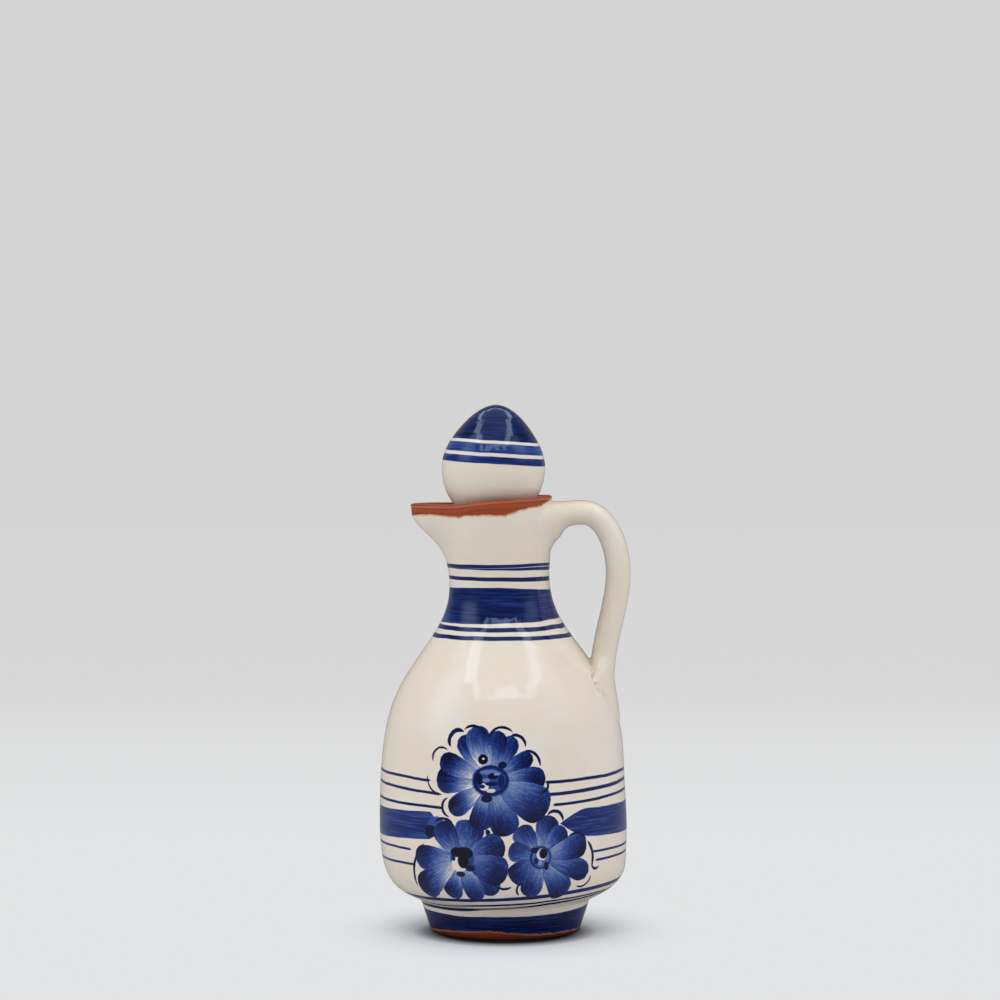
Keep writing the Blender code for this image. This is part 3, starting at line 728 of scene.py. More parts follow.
leftFlower = {
    "centre": (-16.6, 34.4), "root": 0.10, "wash": 11.0,
    "dabs": [(0.2, 0.0, 5.0, 4.8, 0.80), (-0.8, -1.9, 3.6, 3.3, 0.02), (0.7, -0.6, 2.3, 3.1, 1.18),
             (1.3, 2.5, 3.5, 2.4, 1.18), (-2.1, 2.6, 2.5, 2.0, 1.18), (3.4, -3.4, 2.0, 1.3, 1.10),
             (-0.6, -5.8, 1.9, 1.1, 1.04), (-3.2, 0.2, 0.8, 1.0, 1.0)],
    "petals": [(132.5, 19.3, 8.4, 0.34, 0.90), (-158.2, 17.3, 8.0, 0.26, 0.96),
               (160.0, 17.6, 8.4, 0.32, 0.88), (16.2, 15.8, 11.1, 0.48, 0.86),
               (-34.4, 16.7, 9.6, 0.50, 0.96), (-91.2, 21.4, 9.2, 0.38, 0.96),
               (-123.9, 26.0, 10.2, 0.22, 1.02), (68.3, 18.2, 9.8, 0.60, 0.98),
               (107.0, 19.1, 11.2, 0.60, 0.98)],
}
rightFlower = {
    "centre": (14.5, 35.5), "root": 0.12, "wash": 10.5,
    "dabs": [(0.0, -0.3, 4.5, 4.6, 1.05), (0.1, -0.3, 3.9, 4.0, 0.58), (-2.2, 2.6, 1.9, 1.2, 1.10),
             (0.6, 0.9, 2.4, 2.4, 0.06), (1.1, 1.2, 1.8, 2.0, 1.18), (-1.8, -1.6, 1.1, 1.5, 0.95),
             (2.4, -3.6, 1.1, 1.7, 1.12), (-0.2, -2.4, 0.9, 0.8, 0.35)],
    "petals": [(-37.7, 14.5, 8.4, 0.50, 0.84), (12.9, 16.2, 8.6, 0.44, 0.96),
               (43.2, 14.7, 7.4, 0.52, 0.92), (-78.0, 12.9, 7.4, 0.54, 0.84),
               (-129.3, 14.6, 9.2, 0.52, 0.98), (-166.0, 16.5, 8.4, 0.44, 0.90),
               (143.8, 20.4, 9.6, 0.42, 0.92), (109.5, 23.6, 8.4, 0.50, 0.98),
               (78.3, 21.0, 9.4, 0.44, 1.00)],
}

# Tendrils: each is an arc through its start, its middle and its end, and its thickness
tendrils = [
    ((-21.7, 77.3), (-21.6, 82.6), (-17.7, 83.9), 1.3), ((-16.2, 84.6), (-11.6, 85.6), (-7.6, 82.5), 0.8),
    ((-6.3, 81.2), (-1.8, 85.2), (2.6, 84.3), 0.8), ((2.6, 81.7), (6.9, 81.7), (8.7, 77.7), 0.9),
    ((8.8, 76.3), (12.9, 74.8), (14.5, 70.2), 0.9), ((16.9, 64.5), (17.2, 61.6), (14.3, 60.5), 0.8),
    ((-29.3, 71.1), (-28.2, 76.2), (-23.5, 76.3), 0.7), ((-32.0, 66.3), (-29.9, 61.0), (-24.8, 59.0), 0.6),
    ((-22.4, 58.0), (-24.6, 54.2), (-21.5, 50.6), 0.8), ((-26.3, 49.3), (-23.6, 49.9), (-19.7, 47.2), 0.8),
    ((18.7, 52.6), (21.4, 52.6), (23.6, 48.6), 1.0), ((26.2, 42.8), (31.0, 43.7), (34.8, 40.9), 0.8),
    ((35.4, 40.4), (38.4, 35.4), (38.6, 30.6), 0.9), ((38.6, 30.6), (40.3, 28.9), (42.7, 30.1), 0.8),
    ((31.6, 22.9), (36.1, 22.8), (38.3, 25.7), 0.7), ((-2.8, 24.0), (0.2, 22.9), (3.3, 23.7), 0.8),
    ((7.2, 25.1), (5.6, 22.7), (6.2, 20.6), 0.7), ((-34.5, 38.2), (-38.9, 31.2), (-39.8, 21.1), 0.9),
    ((14.2, 52.8), (15.7, 53.4), (17.2, 52.7), 0.9), ((-5.7, 45.8), (-5.9, 45.0), (-5.3, 44.2), 1.5),
]


def newGroup(name, vectors, numbers, results=("Pigment",)):
    # A brush: it takes vectors, then numbers, and gives numbers
    group = bpy.data.node_groups.new(name, "ShaderNodeTree")
    sockets = [(socket, "INPUT", "Vector") for socket in vectors]
    sockets += [(socket, "INPUT", "Float") for socket in numbers]
    sockets += [(socket, "OUTPUT", "Float") for socket in results]
    for socket, direction, kind in sockets:
        group.interface.new_socket(socket, in_out=direction, socket_type="NodeSocket" + kind)
    add = partial(addNode, group)
    return group, add, add("NodeGroupInput").outputs


def makePetalBrush():
    # A petal widens from its root and closes in a round tip; the pigment gathers at the tip, on one side
    # and along the edge. Its grain says which of the brush's hairs ran here, other ones in each petal.
    group, add, given = newGroup("petalBrush", ["Place", "Root", "Heading", "Sideways"],
                                 ["Reach", "Half Width", "Root Tone", "Tip Tone", "Under", "Under Grain"],
                                 ["Pigment", "Grain"])
    offset = add("VectorMath SUBTRACT", [given["Place"], given["Root"]])
    along = add("VectorMath DOT_PRODUCT", [offset, given["Heading"]])
    across = add("VectorMath DOT_PRODUCT", [offset, given["Sideways"]])
    share = add("Math DIVIDE", [along, given["Reach"]])
    outline = add("FloatCurve", [1.0, share])
    points = outline.mapping.curves[0].points
    points[0].location = (0.0, 0.0)
    points[-1].location = (1.0, 0.0)
    for spot in paint["petalOutline"]:
        points.new(*spot)
    outline.mapping.update()
    half = add("Math MULTIPLY", [outline, given["Half Width"]])
    inside = add("Math SUBTRACT", [half, add("Math ABSOLUTE", [across])])
    cover = add("MapRange", [inside, 0.0, 2 * paint["edge"]], **eased)
    fan = add("Math DIVIDE", [across, half])
    gathered = add("MapRange", [share, *paint["gathers"], given["Root Tone"], given["Tip Tone"]], **eased)
    loaded = add("Math MULTIPLY_ADD", [fan, paint["sideShare"], gathered])
    edging = add("MapRange", [inside, *paint["edging"], paint["edgeTone"], 0.0], **eased)
    tone = add("Math MAXIMUM", [loaded, edging])
    own = add("Math MULTIPLY", [given["Reach"], paint["hairShift"]])
    hair = add("Math MULTIPLY_ADD", [fan, given["Half Width"], own])
    add("NodeGroupOutput", [add("Mix", [cover, given["Under"], tone]),
                            add("Mix", [cover, given["Under Grain"], hair])])
    return group


def makeArcBrush():
    # A thin stroke along an arc, pressed hardest in its middle
    group, add, given = newGroup("arcBrush", ["Place", "Centre", "Facing"],
                                 ["Radius", "Ends", "Half Width", "Under"])
    offset = add("VectorMath SUBTRACT", [given["Place"], given["Centre"]])
    toward = add("VectorMath NORMALIZE", [offset])
    facing = add("VectorMath DOT_PRODUCT", [toward, given["Facing"]])
    press = add("MapRange", [facing, given["Ends"], 1.0], **eased)
    half = add("Math MULTIPLY", [add("Math POWER", [press, paint["press"]]), given["Half Width"]])
    off = add("Math SUBTRACT", [add("VectorMath LENGTH", [offset]), given["Radius"]])
    inside = add("Math SUBTRACT", [half, add("Math ABSOLUTE", [off])])
    cover = add("MapRange", [inside, 0.0, paint["edge"]], **eased)
    add("NodeGroupOutput", [add("Mix", [cover, given["Under"], paint["tendrilTone"]])])
    return group


def makeRingBrush():
    # A line round the jug; it sinks and climbs a little, and thins and thickens, from side to side
    group, add, given = newGroup("ringBrush", [], ["Height", "Side", "Side Squared", "Middle", "Climb", "Bow",
                                                   "Half Width", "Growth", "Tone", "Open", "Under"])
    climb = add("Math MULTIPLY_ADD", [given["Side"], given["Climb"], given["Middle"]])
    line = add("Math MULTIPLY_ADD", [given["Side Squared"], given["Bow"], climb])
    away = add("Math ABSOLUTE", [add("Math SUBTRACT", [given["Height"], line])])
    half = add("Math MULTIPLY_ADD", [given["Side"], given["Growth"], given["Half Width"]])
    inside = add("Math SUBTRACT", [add("Math MULTIPLY", [half, given["Open"]]), away])
    cover = add("MapRange", [inside, -0.5 * paint["edge"], paint["edge"]], **eased)
    add("NodeGroupOutput", [add("Mix", [cover, given["Under"], given["Tone"]])])
    return group


def makeDabBrush():
    # A short press of the brush leaves an oval dab
    group, add, given = newGroup("dabBrush", ["Place", "Centre", "Shrink"], ["Tone", "Under"])
    offset = add("VectorMath SUBTRACT", [given["Place"], given["Centre"]])
    away = add("VectorMath LENGTH", [add("VectorMath MULTIPLY", [offset, given["Shrink"]])])
    cover = add("MapRange", [away, *paint["dabEdge"]], **eased)
    add("NodeGroupOutput", [add("Mix", [cover, given["Under"], given["Tone"]])])
    return group


def sideCurve(values):
    # A value on the left, in front and on the right, as middle, climb and bow
    left, middle, right = values
    return middle, (right - left) / 2, (left + right) / 2 - middle


def fromMiddle(add, value, ends):
    # How far a value is from the middle between two ends, and half the way between them
    off = add("Math SUBTRACT", [value, (ends[0] + ends[1]) / 2])
    return add("Math ABSOLUTE", [off]), (ends[1] - ends[0]) / 2


def paintRing(add, brush, ring, place, under):
    middle, climb, bow = sideCurve(ring["height"])
    left, right = ring["thick"]
    opened = 1.0
    if "gap" in ring:
        away, half = fromMiddle(add, place["u"], ring["gap"])
        opened = add("MapRange", [away, half, half + paint["ringFade"]], **eased)
    half, growth = (left + right) / 4, (right - left) / 4
    return add("Group", [place["v"], place["side"], place["sideSquared"], middle, climb, bow, half, growth,
                         ring["tone"], opened, under], node_tree=brush)


def bandEdge(add, values, place):
    middle, climb, bow = sideCurve(values)
    climbing = add("Math MULTIPLY_ADD", [place["side"], climb, middle])
    return add("Math MULTIPLY_ADD", [place["sideSquared"], bow, climbing])


def paintBand(add, band, place, under):
    low, high = bandEdge(add, band["low"], place), bandEdge(add, band["high"], place)
    if "gap" in band:                         # closes to a round end on the left and a long one on the right
        start, end = band["gap"]
        left = add("MapRange", [place["u"], start, start - band["roundEnd"]], **eased)
        right = add("MapRange", [place["u"], end, end + band["taperEnd"]], **eased)
        rounded = add("Math POWER", [add("Math MAXIMUM", [left, right]), 0.5])
        middle = add("Mix", [0.5, low, high])
        low, high = add("Mix", [rounded, middle, low]), add("Mix", [rounded, middle, high])
    above = add("Math SUBTRACT", [place["v"], low])
    below = add("Math SUBTRACT", [high, place["v"]])
    cover = add("MapRange", [add("Math MINIMUM", [above, below]), 0.0, 2 * paint["edge"]], **eased)
    tones = [band["tone"] + change for change in paint["streakTone"]]
    tone = add("MapRange", [place["streaks"], *paint["streakShare"], *tones], **eased)
    return add("Mix", [cover, under, tone])


def paintDabs(add, brush, dabs, centre, place, under):
    for u, v, wide, tall, tone in dabs:
        middle = (centre[0] + u, centre[1] + v, 0.0)
        under = add("Group", [place["spot"], middle, (1 / wide, 1 / tall, 0.0), tone, under], node_tree=brush)
    return under


def paintFlower(add, brushes, flower, place, under):
    # A thin wash first, then the petals over it, then the dabs of its middle
    centre = flower["centre"]
    wash = [(0.0, 0.0, flower["wash"], flower["wash"], paint["washTone"])]
    painted = paintDabs(add, brushes["dab"], wash, centre, place, under)
    grain = 0.0
    for degrees, reach, width, rootTone, tipTone in flower["petals"]:
        angle = math.radians(degrees)
        heading = (math.sin(angle), math.cos(angle), 0.0)
        sideways = (math.cos(angle), -math.sin(angle), 0.0)
        start = flower["root"] * reach
        root = (centre[0] + heading[0] * start, centre[1] + heading[1] * start, 0.0)
        half = paint["fuller"] * width / 2
        petal = add("Group", [place["spot"], root, heading, sideways, reach - start, half, rootTone, tipTone,
                              painted, grain], node_tree=brushes["petal"])
        painted, grain = petal.outputs["Pigment"], petal.outputs["Grain"]
    # The brush's hairs leave fine tracks along each petal, and here and there a dark vein
    away = add("VectorMath LENGTH", [add("VectorMath SUBTRACT", [place["spot"], (*centre, 0.0)])])
    track = add("CombineXYZ", [grain, add("Math MULTIPLY", [away, paint["hairStretch"]])])
    hairs = add("TexNoise", {"Vector": track, "Scale": 1 / paint["hairEvery"], "Roughness": 0.6})
    uneven = add("Math SUBTRACT", [hairs, 0.5])
    beside = add("Math ABSOLUTE", [uneven])
    vein = add("MapRange", [beside, 0.0, paint["veinWidth"], paint["vein"], 0.0], **eased)
    tracks = add("Math MULTIPLY_ADD", [uneven, paint["hair"], vein])
    swing = add("Math MULTIPLY_ADD", [place["settled"], paint["grain"], tracks])
    onPetal = add("MapRange", [grain, *paint["onPetal"]], **eased)
    near = add("MapRange", [away, paint["veinReach"] + 1.0, paint["veinReach"]], **eased)
    painted = add("Math MULTIPLY_ADD", [swing, add("Math MULTIPLY", [onPetal, near]), painted])
    return paintDabs(add, brushes["dab"], flower["dabs"], centre, place, painted)


def paintTendril(add, brush, tendril, place, under):
    # The circle through the arc's three points
    (ax, ay), (bx, by), (cx, cy), width = tendril
    d = 2 * (ax * (by - cy) + bx * (cy - ay) + cx * (ay - by))
    a, b, c = ax * ax + ay * ay, bx * bx + by * by, cx * cx + cy * cy
    centre = Vector(((a * (by - cy) + b * (cy - ay) + c * (ay - by)) / d,
                     (a * (cx - bx) + b * (ax - cx) + c * (bx - ax)) / d, 0.0))
    toMiddle = Vector((bx, by, 0.0)) - centre
    facing = toMiddle.normalized()
    ends = min((Vector((*tip, 0.0)) - centre).normalized().dot(facing) for tip in ((ax, ay), (cx, cy)))
    half = paint["tendrilWidth"] * width
    return add("Group", [place["spot"], centre, facing, toMiddle.length, ends, half, under], node_tree=brush)


def straying(add, where, every, reach, detail=2.0, roughness=0.5):
    # A vector that strays up to reach to either side of zero
    cloud = add("TexNoise", {"Vector": where, "Scale": 1 / every, "Detail": detail, "Roughness": roughness})
    centred = add("VectorMath SUBTRACT", [cloud.outputs["Color"], (0.5, 0.5, 0.5)])
    return add("VectorMath SCALE", [centred, 2 * reach])


def paintPlace(add):
    # Where a point of the surface lies in the painting
    inMm = add("VectorMath SCALE", [add("Attribute", attribute_name="thrown").outputs["Vector"], 1 / mm])
    parts = add("SeparateXYZ", [inMm])
    back = add("Math MULTIPLY", [parts.outputs["Y"], -1.0])
    turn = add("Math ARCTAN2", [parts.outputs["X"], back])
    side = add("Math SINE", [turn])
    flat = add("CombineXYZ", [add("Math MULTIPLY", [turn, paint["bodyRadius"]]), parts.outputs["Z"]])
    wobble = straying(add, inMm, paint["wobbleEvery"], paint["wobble"], 2.5, 0.55)
    steady = add("VectorMath ADD", [flat, wobble])
    u, v, _ = add("SeparateXYZ", [steady]).outputs
    spot = add("VectorMath ADD", [steady, straying(add, inMm, paint["ragEvery"], paint["rag"])])
    stretched = add("VectorMath DIVIDE", [inMm, paint["streak"]])
    streaks = add("TexNoise", {"Vector": stretched, "Scale": 1.0, "Detail": 3.0, "Roughness": 0.6})
    grains = add("TexNoise", {"Vector": inMm, "Scale": 1 / paint["grainEvery"], "Roughness": 0.6})
    return {"inMm": inMm, "spot": spot, "u": u, "v": v, "side": side,
            "sideSquared": add("Math MULTIPLY", [side, side]), "streaks": streaks,
            "settled": add("Math SUBTRACT", [grains, 0.5])}


def cobaltOver(add, glaze, pigment):
    # The glaze seen through the pigment: pale blue where thin, near black where it gathers
    ramp = add("ValToRGB", [add("Math DIVIDE", [pigment, paint["deepest"]], use_clamp=True)])
    fillRamp(ramp, paint["cobalt"])
    cover = add("MapRange", [pigment, *paint["shows"]])
    return add("Mix RGBA", [cover, glaze, ramp])


# Tin-glazed earthenware: a cream glaze, glossy and a little uneven from the kiln, over red clay

glazeLook = {
    # A share or reach says from where to where a colour comes in and, if it isn't all of it, how much
    "cream": "#E3D6C5", "cloudEvery": 26.0,   # mm between clouds of warm and cool glaze
    "warm": "#E1D2BE", "warmShare": (0.42, 0.72),
    "cool": "#E3DACE", "coolShare": (0.48, 0.26),
    "warmRoot": (118.0, 92.0, 0.0, 0.6),      # by height, on the handle
    "seam": "#A8743E", "seamEvery": 2.6, "seamShare": (0.46, 0.62, 0.0, 0.75), "seamHeight": (94.0, 98.0),
    "thin": "#C48F66", "thinReach": (-1.0, -0.10, 0.0, 0.85),  # where it ends, the clay shows through
    "glazeEnd": (-0.10, 0.12),                # mm past the glaze's edge
    "clay": "#A4400A",
    "clayDark": "#7E2802", "turning": (18.0, 18.0, 0.7), "darkShare": (0.42, 0.70),  # mm: the wheel's streaks
    "clayPale": "#B8622C", "grit": 0.35, "gritShare": (0.55, 0.75, 0.0, 0.5),  # mm: sand in the bare clay
    "lipHighlight": "#C27E56", "lipHighlightReach": (0.15, 0.50, 0.6, 0.0),  # a painted highlight along the lip's outer edge
    "footShade": "#2C0C04", "footShadeReach": (2.6, 0.3, 0.0, 0.97),  # painted shade, darker towards the standing edge
    "roughness": 0.07, "clayRoughness": 0.45, "ior": 1.5,
    "peelEvery": 3.2, "peel": 0.012,          # mm: the glaze's waves, which bend its reflections
    "gritDepth": 0.05, "pinholeDepth": 0.05,
    "pinholeEvery": 11.0, "pinhole": 0.20, "pinholeFloor": 0.4, "pinholeShows": 0.7,  # mm: burst bubbles
}


def creamGlaze(add, look, inMm, seed=0.0):
    moved = add("VectorMath ADD", [inMm, (seed, seed, seed)])
    clouds = add("TexNoise", {"Vector": moved, "Scale": 1 / look["cloudEvery"], "Detail": 4.0,
                              "Roughness": 0.6})
    colour = linear(look["cream"])
    for share, name in (("warmShare", "warm"), ("coolShare", "cool")):
        colour = add("Mix RGBA", [add("MapRange", [clouds, *look[share]]), colour, linear(look[name])])
    holes = add("TexVoronoi", [moved, 1 / look["pinholeEvery"]])
    size = look["pinhole"] / look["pinholeEvery"]
    hole = add("MapRange", [holes, size, look["pinholeFloor"] * size, 0.0, look["pinholeShows"]])
    return add("Mix RGBA", [hole, colour, linear(look["clay"])]), hole


def bareClay(add, look, inMm, grit):
    # Red clay streaked by the wheel, with pale grit, a painted highlight along the lip and painted shade
    # where it stands
    turned = add("VectorMath DIVIDE", [inMm, look["turning"]])
    streaks = add("TexNoise", {"Vector": turned, "Scale": 1.0, "Detail": 3.0, "Roughness": 0.6})
    height = add("SeparateXYZ", [inMm]).outputs["Z"]
    lipEdge = (jugForm["rimHeight"] - jugForm["lipRound"]) / mm
    fromLip = add("Math ABSOLUTE", [add("Math SUBTRACT", [height, lipEdge])])
    clay = linear(look["clay"])
    # The lip's pale line is a painted highlight; the darkening at the standing edge is painted shade
    for value, share, name in ((streaks, "darkShare", "clayDark"), (grit, "gritShare", "clayPale"),
                               (fromLip, "lipHighlightReach", "lipHighlight"), (height, "footShadeReach", "footShade")):
        clay = add("Mix RGBA", [add("MapRange", [value, *look[share]]), clay, linear(look[name])])
    return clay


def finishGlaze(add, look, colour, hole, inMm, bare=None):
    # Glossy where there is glaze, dull and gritty where there is none
    peel = add("TexNoise", {"Vector": inMm, "Scale": 1 / look["peelEvery"], "Detail": 1.5})
    waves = add("Math MULTIPLY", [peel, look["peel"]])
    height = add("Math MULTIPLY_ADD", [hole, -look["pinholeDepth"], waves])
    roughness = look["roughness"]
    if bare is not None:
        grit = add("TexNoise", {"Vector": inMm, "Scale": 1 / look["grit"], "Detail": 3.0})
        showing = add("MapRange", [bare, *look["glazeEnd"]])
        ending = add("MapRange", [bare, *look["thinReach"]], **eased)
        colour = add("Mix RGBA", [ending, colour, linear(look["thin"])])
        colour = add("Mix RGBA", [showing, colour, bareClay(add, look, inMm, grit)])
        roughness = add("MapRange", [showing, 0.0, 1.0, look["roughness"], look["clayRoughness"]])
        height = add("Mix", [showing, height, add("Math MULTIPLY", [grit, look["gritDepth"]])])
    bump = add("Bump", {"Height": height, "Strength": 1.0, "Distance": mm})
    add("OutputMaterial", [add("BsdfPrincipled", {"Base Color": colour, "Roughness": roughness,
                                                  "IOR": look["ior"], "Normal": bump})])


def makeJugGlaze(look):
    material, add = newMaterial("paintedTinGlaze")
    place = paintPlace(add)
    ringBrush, arcBrush = makeRingBrush(), makeArcBrush()
    brushes = {"petal": makePetalBrush(), "dab": makeDabBrush()}
    painted = 0.0
    for ring in rings:
        painted = paintRing(add, ringBrush, ring, place, painted)
    for band in bands + [bellyBand]:
        painted = paintBand(add, band, place, painted)
    painted = paintDabs(add, brushes["dab"], bandDabs, (0.0, 0.0), place, painted)
    for flower in (leftFlower, rightFlower, bigFlower):
        painted = paintFlower(add, brushes, flower, place, painted)
    for tendril in tendrils:
        painted = paintTendril(add, arcBrush, tendril, place, painted)
    onOutside = add("Attribute", attribute_name="outside").outputs["Fac"]
    cream, hole = creamGlaze(add, look, place["inMm"])
    colour = cobaltOver(add, cream, add("Math MULTIPLY", [painted, onOutside]))
    bare = add("Attribute", attribute_name="bareClay").outputs["Fac"]
    finishGlaze(add, look, colour, hole, place["inMm"], bare)
    return material


def makeHandleGlaze(look):
    # The same glaze, thinner and warmer down at the lower root
    material, add = newMaterial("plainTinGlaze")
    inMm = add("VectorMath SCALE", [add("TexCoord").outputs["Object"], 1 / mm])
    cream, hole = creamGlaze(add, look, inMm, 40.0)
    height = add("SeparateXYZ", [inMm]).outputs["Z"]
    low = add("MapRange", [height, *look["warmRoot"]], **eased)
    colour = add("Mix RGBA", [low, cream, linear(look["warm"])])
    # Where the strap was smeared on, the glaze lies thin and the clay shows through in places
    seam = add("Attribute", attribute_name="seam").outputs["Fac"]
    patches = add("TexNoise", {"Vector": inMm, "Scale": 1 / look["seamEvery"], "Detail": 3.0})
    ragged = add("MapRange", [patches, *look["seamShare"]])
    upper = add("MapRange", [height, *look["seamHeight"]])
    thin = add("Math MULTIPLY", [add("Math MULTIPLY", [seam, ragged]), upper])
    finishGlaze(add, look, add("Mix RGBA", [thin, colour, linear(look["seam"])]), hole, inMm)
    return material


# The knob has the same cobalt, as a cap and two bands brushed round it

knobPaint = {
    "bands": [(10.5, 40.0, 1.04), (5.6, 9.6, 0.84), (1.4, 4.5, 0.92)],  # mm from and to, pigment
    "rimShade": "#B98C66", "rimShadeReach": (-8.5, -13.5, 0.0, 0.05),  # painted warm shade low on its underside, for the red rim's reflection and shadow
    "rimShadeEvery": 6.25, "rimShadeRag": (0.3, 0.7, -1.2, 1.2),
}


def makeKnobGlaze(look, form):
    material, add = newMaterial("bandedTinGlaze")
    place = paintPlace(add)
    cream, hole = creamGlaze(add, look, place["inMm"], 80.0)
    painted = 0.0
    for low, high, tone in form["bands"]:
        painted = paintBand(add, {"low": (low,) * 3, "high": (high,) * 3, "tone": tone}, place, painted)
    # Painted shade, warmed by the red rim's reflection, low on the knob's underside with a ragged edge
    rimShadeNoise = add("TexNoise", {"Vector": place["inMm"], "Scale": 1 / form["rimShadeEvery"], "Detail": 4.0})
    ragged = add("Math ADD", [place["v"], add("MapRange", [rimShadeNoise, *form["rimShadeRag"]])])
    rimShade = add("MapRange", [ragged, *form["rimShadeReach"]])
    rimShaded = add("Mix RGBA", [rimShade, cream, linear(form["rimShade"])])
    finishGlaze(add, look, cobaltOver(add, rimShaded, painted), hole, place["inMm"])
    return material


# Natural cork: warm tan with darker grain and near-black pores, dull

corkLook = {
    "tan": [(0.30, "#8A5A34"), (0.46, "#C39766"), (0.66, "#D8B487")],   # bark, cork and its pale grain
    "grainEvery": 1.6,
    "pore": "#3F2616", "poreEvery": 3.0, "poreEdge": (0.40, 0.30), "poreRag": 0.35,
    "poreStretch": (0.5, 1.0, 1.0),           # pores are twice as long one way
    "roughness": 0.86, "bump": 0.08,
}


def makeCorkBark(look):
    material, add = newMaterial("naturalCork")
    inMm = add("VectorMath SCALE", [add("TexCoord").outputs["Object"], 1 / mm])
    grain = add("TexNoise", {"Vector": inMm, "Scale": 1 / look["grainEvery"], "Detail": 5.0,
                             "Roughness": 0.7})
    stretched = add("VectorMath MULTIPLY", [inMm, look["poreStretch"]])
    pores = add("TexVoronoi", [stretched, 1 / look["poreEvery"]])
    ragged = add("Math MULTIPLY_ADD", [grain, look["poreRag"], pores])
    pore = add("MapRange", [ragged, *look["poreEdge"]])
    tan = add("ValToRGB", [grain])
    fillRamp(tan, look["tan"])
    colour = add("Mix RGBA", [pore, tan, linear(look["pore"])])
    sunk = add("Math MULTIPLY_ADD", [pore, -1.0, grain])
    bump = add("Bump", {"Height": sunk, "Strength": 1.0, "Distance": look["bump"] * mm})
    add("OutputMaterial", [add("BsdfPrincipled", {"Base Color": colour, "Roughness": look["roughness"],
                                                  "Normal": bump})])
    return material


# Build the object

jug = makeJug(jugForm, glazeEdge, makeJugGlaze(glazeLook))
print("jug thrown and painted:", len(jug.data.polygons), "faces")
handle = makeHandle(handleForm, makeHandleGlaze(glazeLook))
print("handle pulled:", len(handle.data.polygons), "faces")
knob = makeKnob(knobForm, makeKnobGlaze(glazeLook, knobPaint))
cork = makeCork(corkForm, knobForm, makeCorkBark(corkLook))
print("stopper made:", len(knob.data.polygons) + len(cork.data.polygons), "faces")

for piece, body, node, slot in (
        (jug, "jug", "jug_body", "jug_glaze"), (handle, "jug", "handle", "handle_glaze"),
        (knob, "stopper", "stopper_knob", "knob_glaze"), (cork, "stopper", "stopper_cork", "cork")):
    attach(piece, body)
    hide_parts(node)


# Studio: a pale sweep, a soft room with windows on both sides, behind and above, a frame lamp overhead
# that the glaze mirrors, and the photograph's camera

studio = {
    "halfWidth": 9.0, "front": -4.0, "back": 9.0, "bend": 3.0, "height": 7.0,
    "floor": ["#D6D8DA", "#808284"],          # as a surface, and in the glaze's reflections
    "backdrop": [(0.18, "#E3E4E5"), (0.29, "#D8D8D9"), (0.80, "#D4D4D4")],  # near, middle and far
    "backdropDepth": (-1.0, 6.0),
    "shadowReach": (0.028, 0.082),            # metres round the object where the floor takes its shadow
    "contact": (0.0262, 0.0365), "contactShift": 0.008,  # a painted contact shadow on the floor, as little light gets under the foot's rounded edge
    "contactShade": (0.02, 0.02, 0.02, 1.0),  # linear, near black
    "horizon": 0.39, "zenith": 1.18,          # brightness of the room, low and overhead
    "dark": 0.12,                             # and of the arched opening in front of the object
    "archWide": 0.80, "archTall": 0.82, "archFoot": -0.12, "archEdge": (0.80, 1.04), "archBack": (-0.1, 0.0),
    # Tints, as linear factors: the room's sides, its middle and its reflections
    "coolSide": (0.95, 1.04, 1.19, 1.0), "warmMiddle": (1.01, 1.0, 0.985, 1.0), "coolFrom": (0.35, 0.9),
    "coolMirrored": (0.80, 1.0, 1.18, 1.0), "sweepMirrored": 0.35,
    "mirrored": 0.12,                         # the room is darker in the glaze's reflections than as a light
    "seen": 0.66,                             # how bright the camera sees it, past the sweep
    "lampWide": 0.55, "lampDeep": (-0.82, 0.72), "lampBar": 0.08, "lampSoft": 0.04, "lampLow": 0.05,
    "lampUneven": 0.34, "lampFolds": 5.5,     # its cloth hangs in folds
    "lampBright": 2.4, "lampInside": 0.34,    # the frame lamp overhead: its bars, and what they enclose
}
# Soft windows: between which degrees round the object (0 in front, 90 on the handle's side) and
# above the horizon they stand, how soft their edges are, and how bright they light and mirror
windows = [
    {"around": (-84, -44), "above": (-8, 46), "soft": 9, "bright": 1.38, "mirrored": 0.0},
    {"around": (46, 88), "above": (-8, 46), "soft": 9, "bright": 1.20, "mirrored": 0.0},
    {"around": (-34, 16), "above": (46, 74), "soft": 4, "bright": 2.42, "mirrored": 0.0},
    {"around": (130, 230), "above": (6, 60), "soft": 14, "bright": 0.62, "mirrored": 0.1},
    {"around": (-92, -58), "above": (16, 58), "soft": 12, "bright": 0.0, "mirrored": 1.2},
    {"around": (58, 90), "above": (16, 58), "soft": 12, "bright": 0.0, "mirrored": 0.7},
]
view = {"lens": 110.79, "sensor": 36.0, "place": (-2.064 * mm, -1225.0 * mm, 208.67 * mm), "down": 1.751}


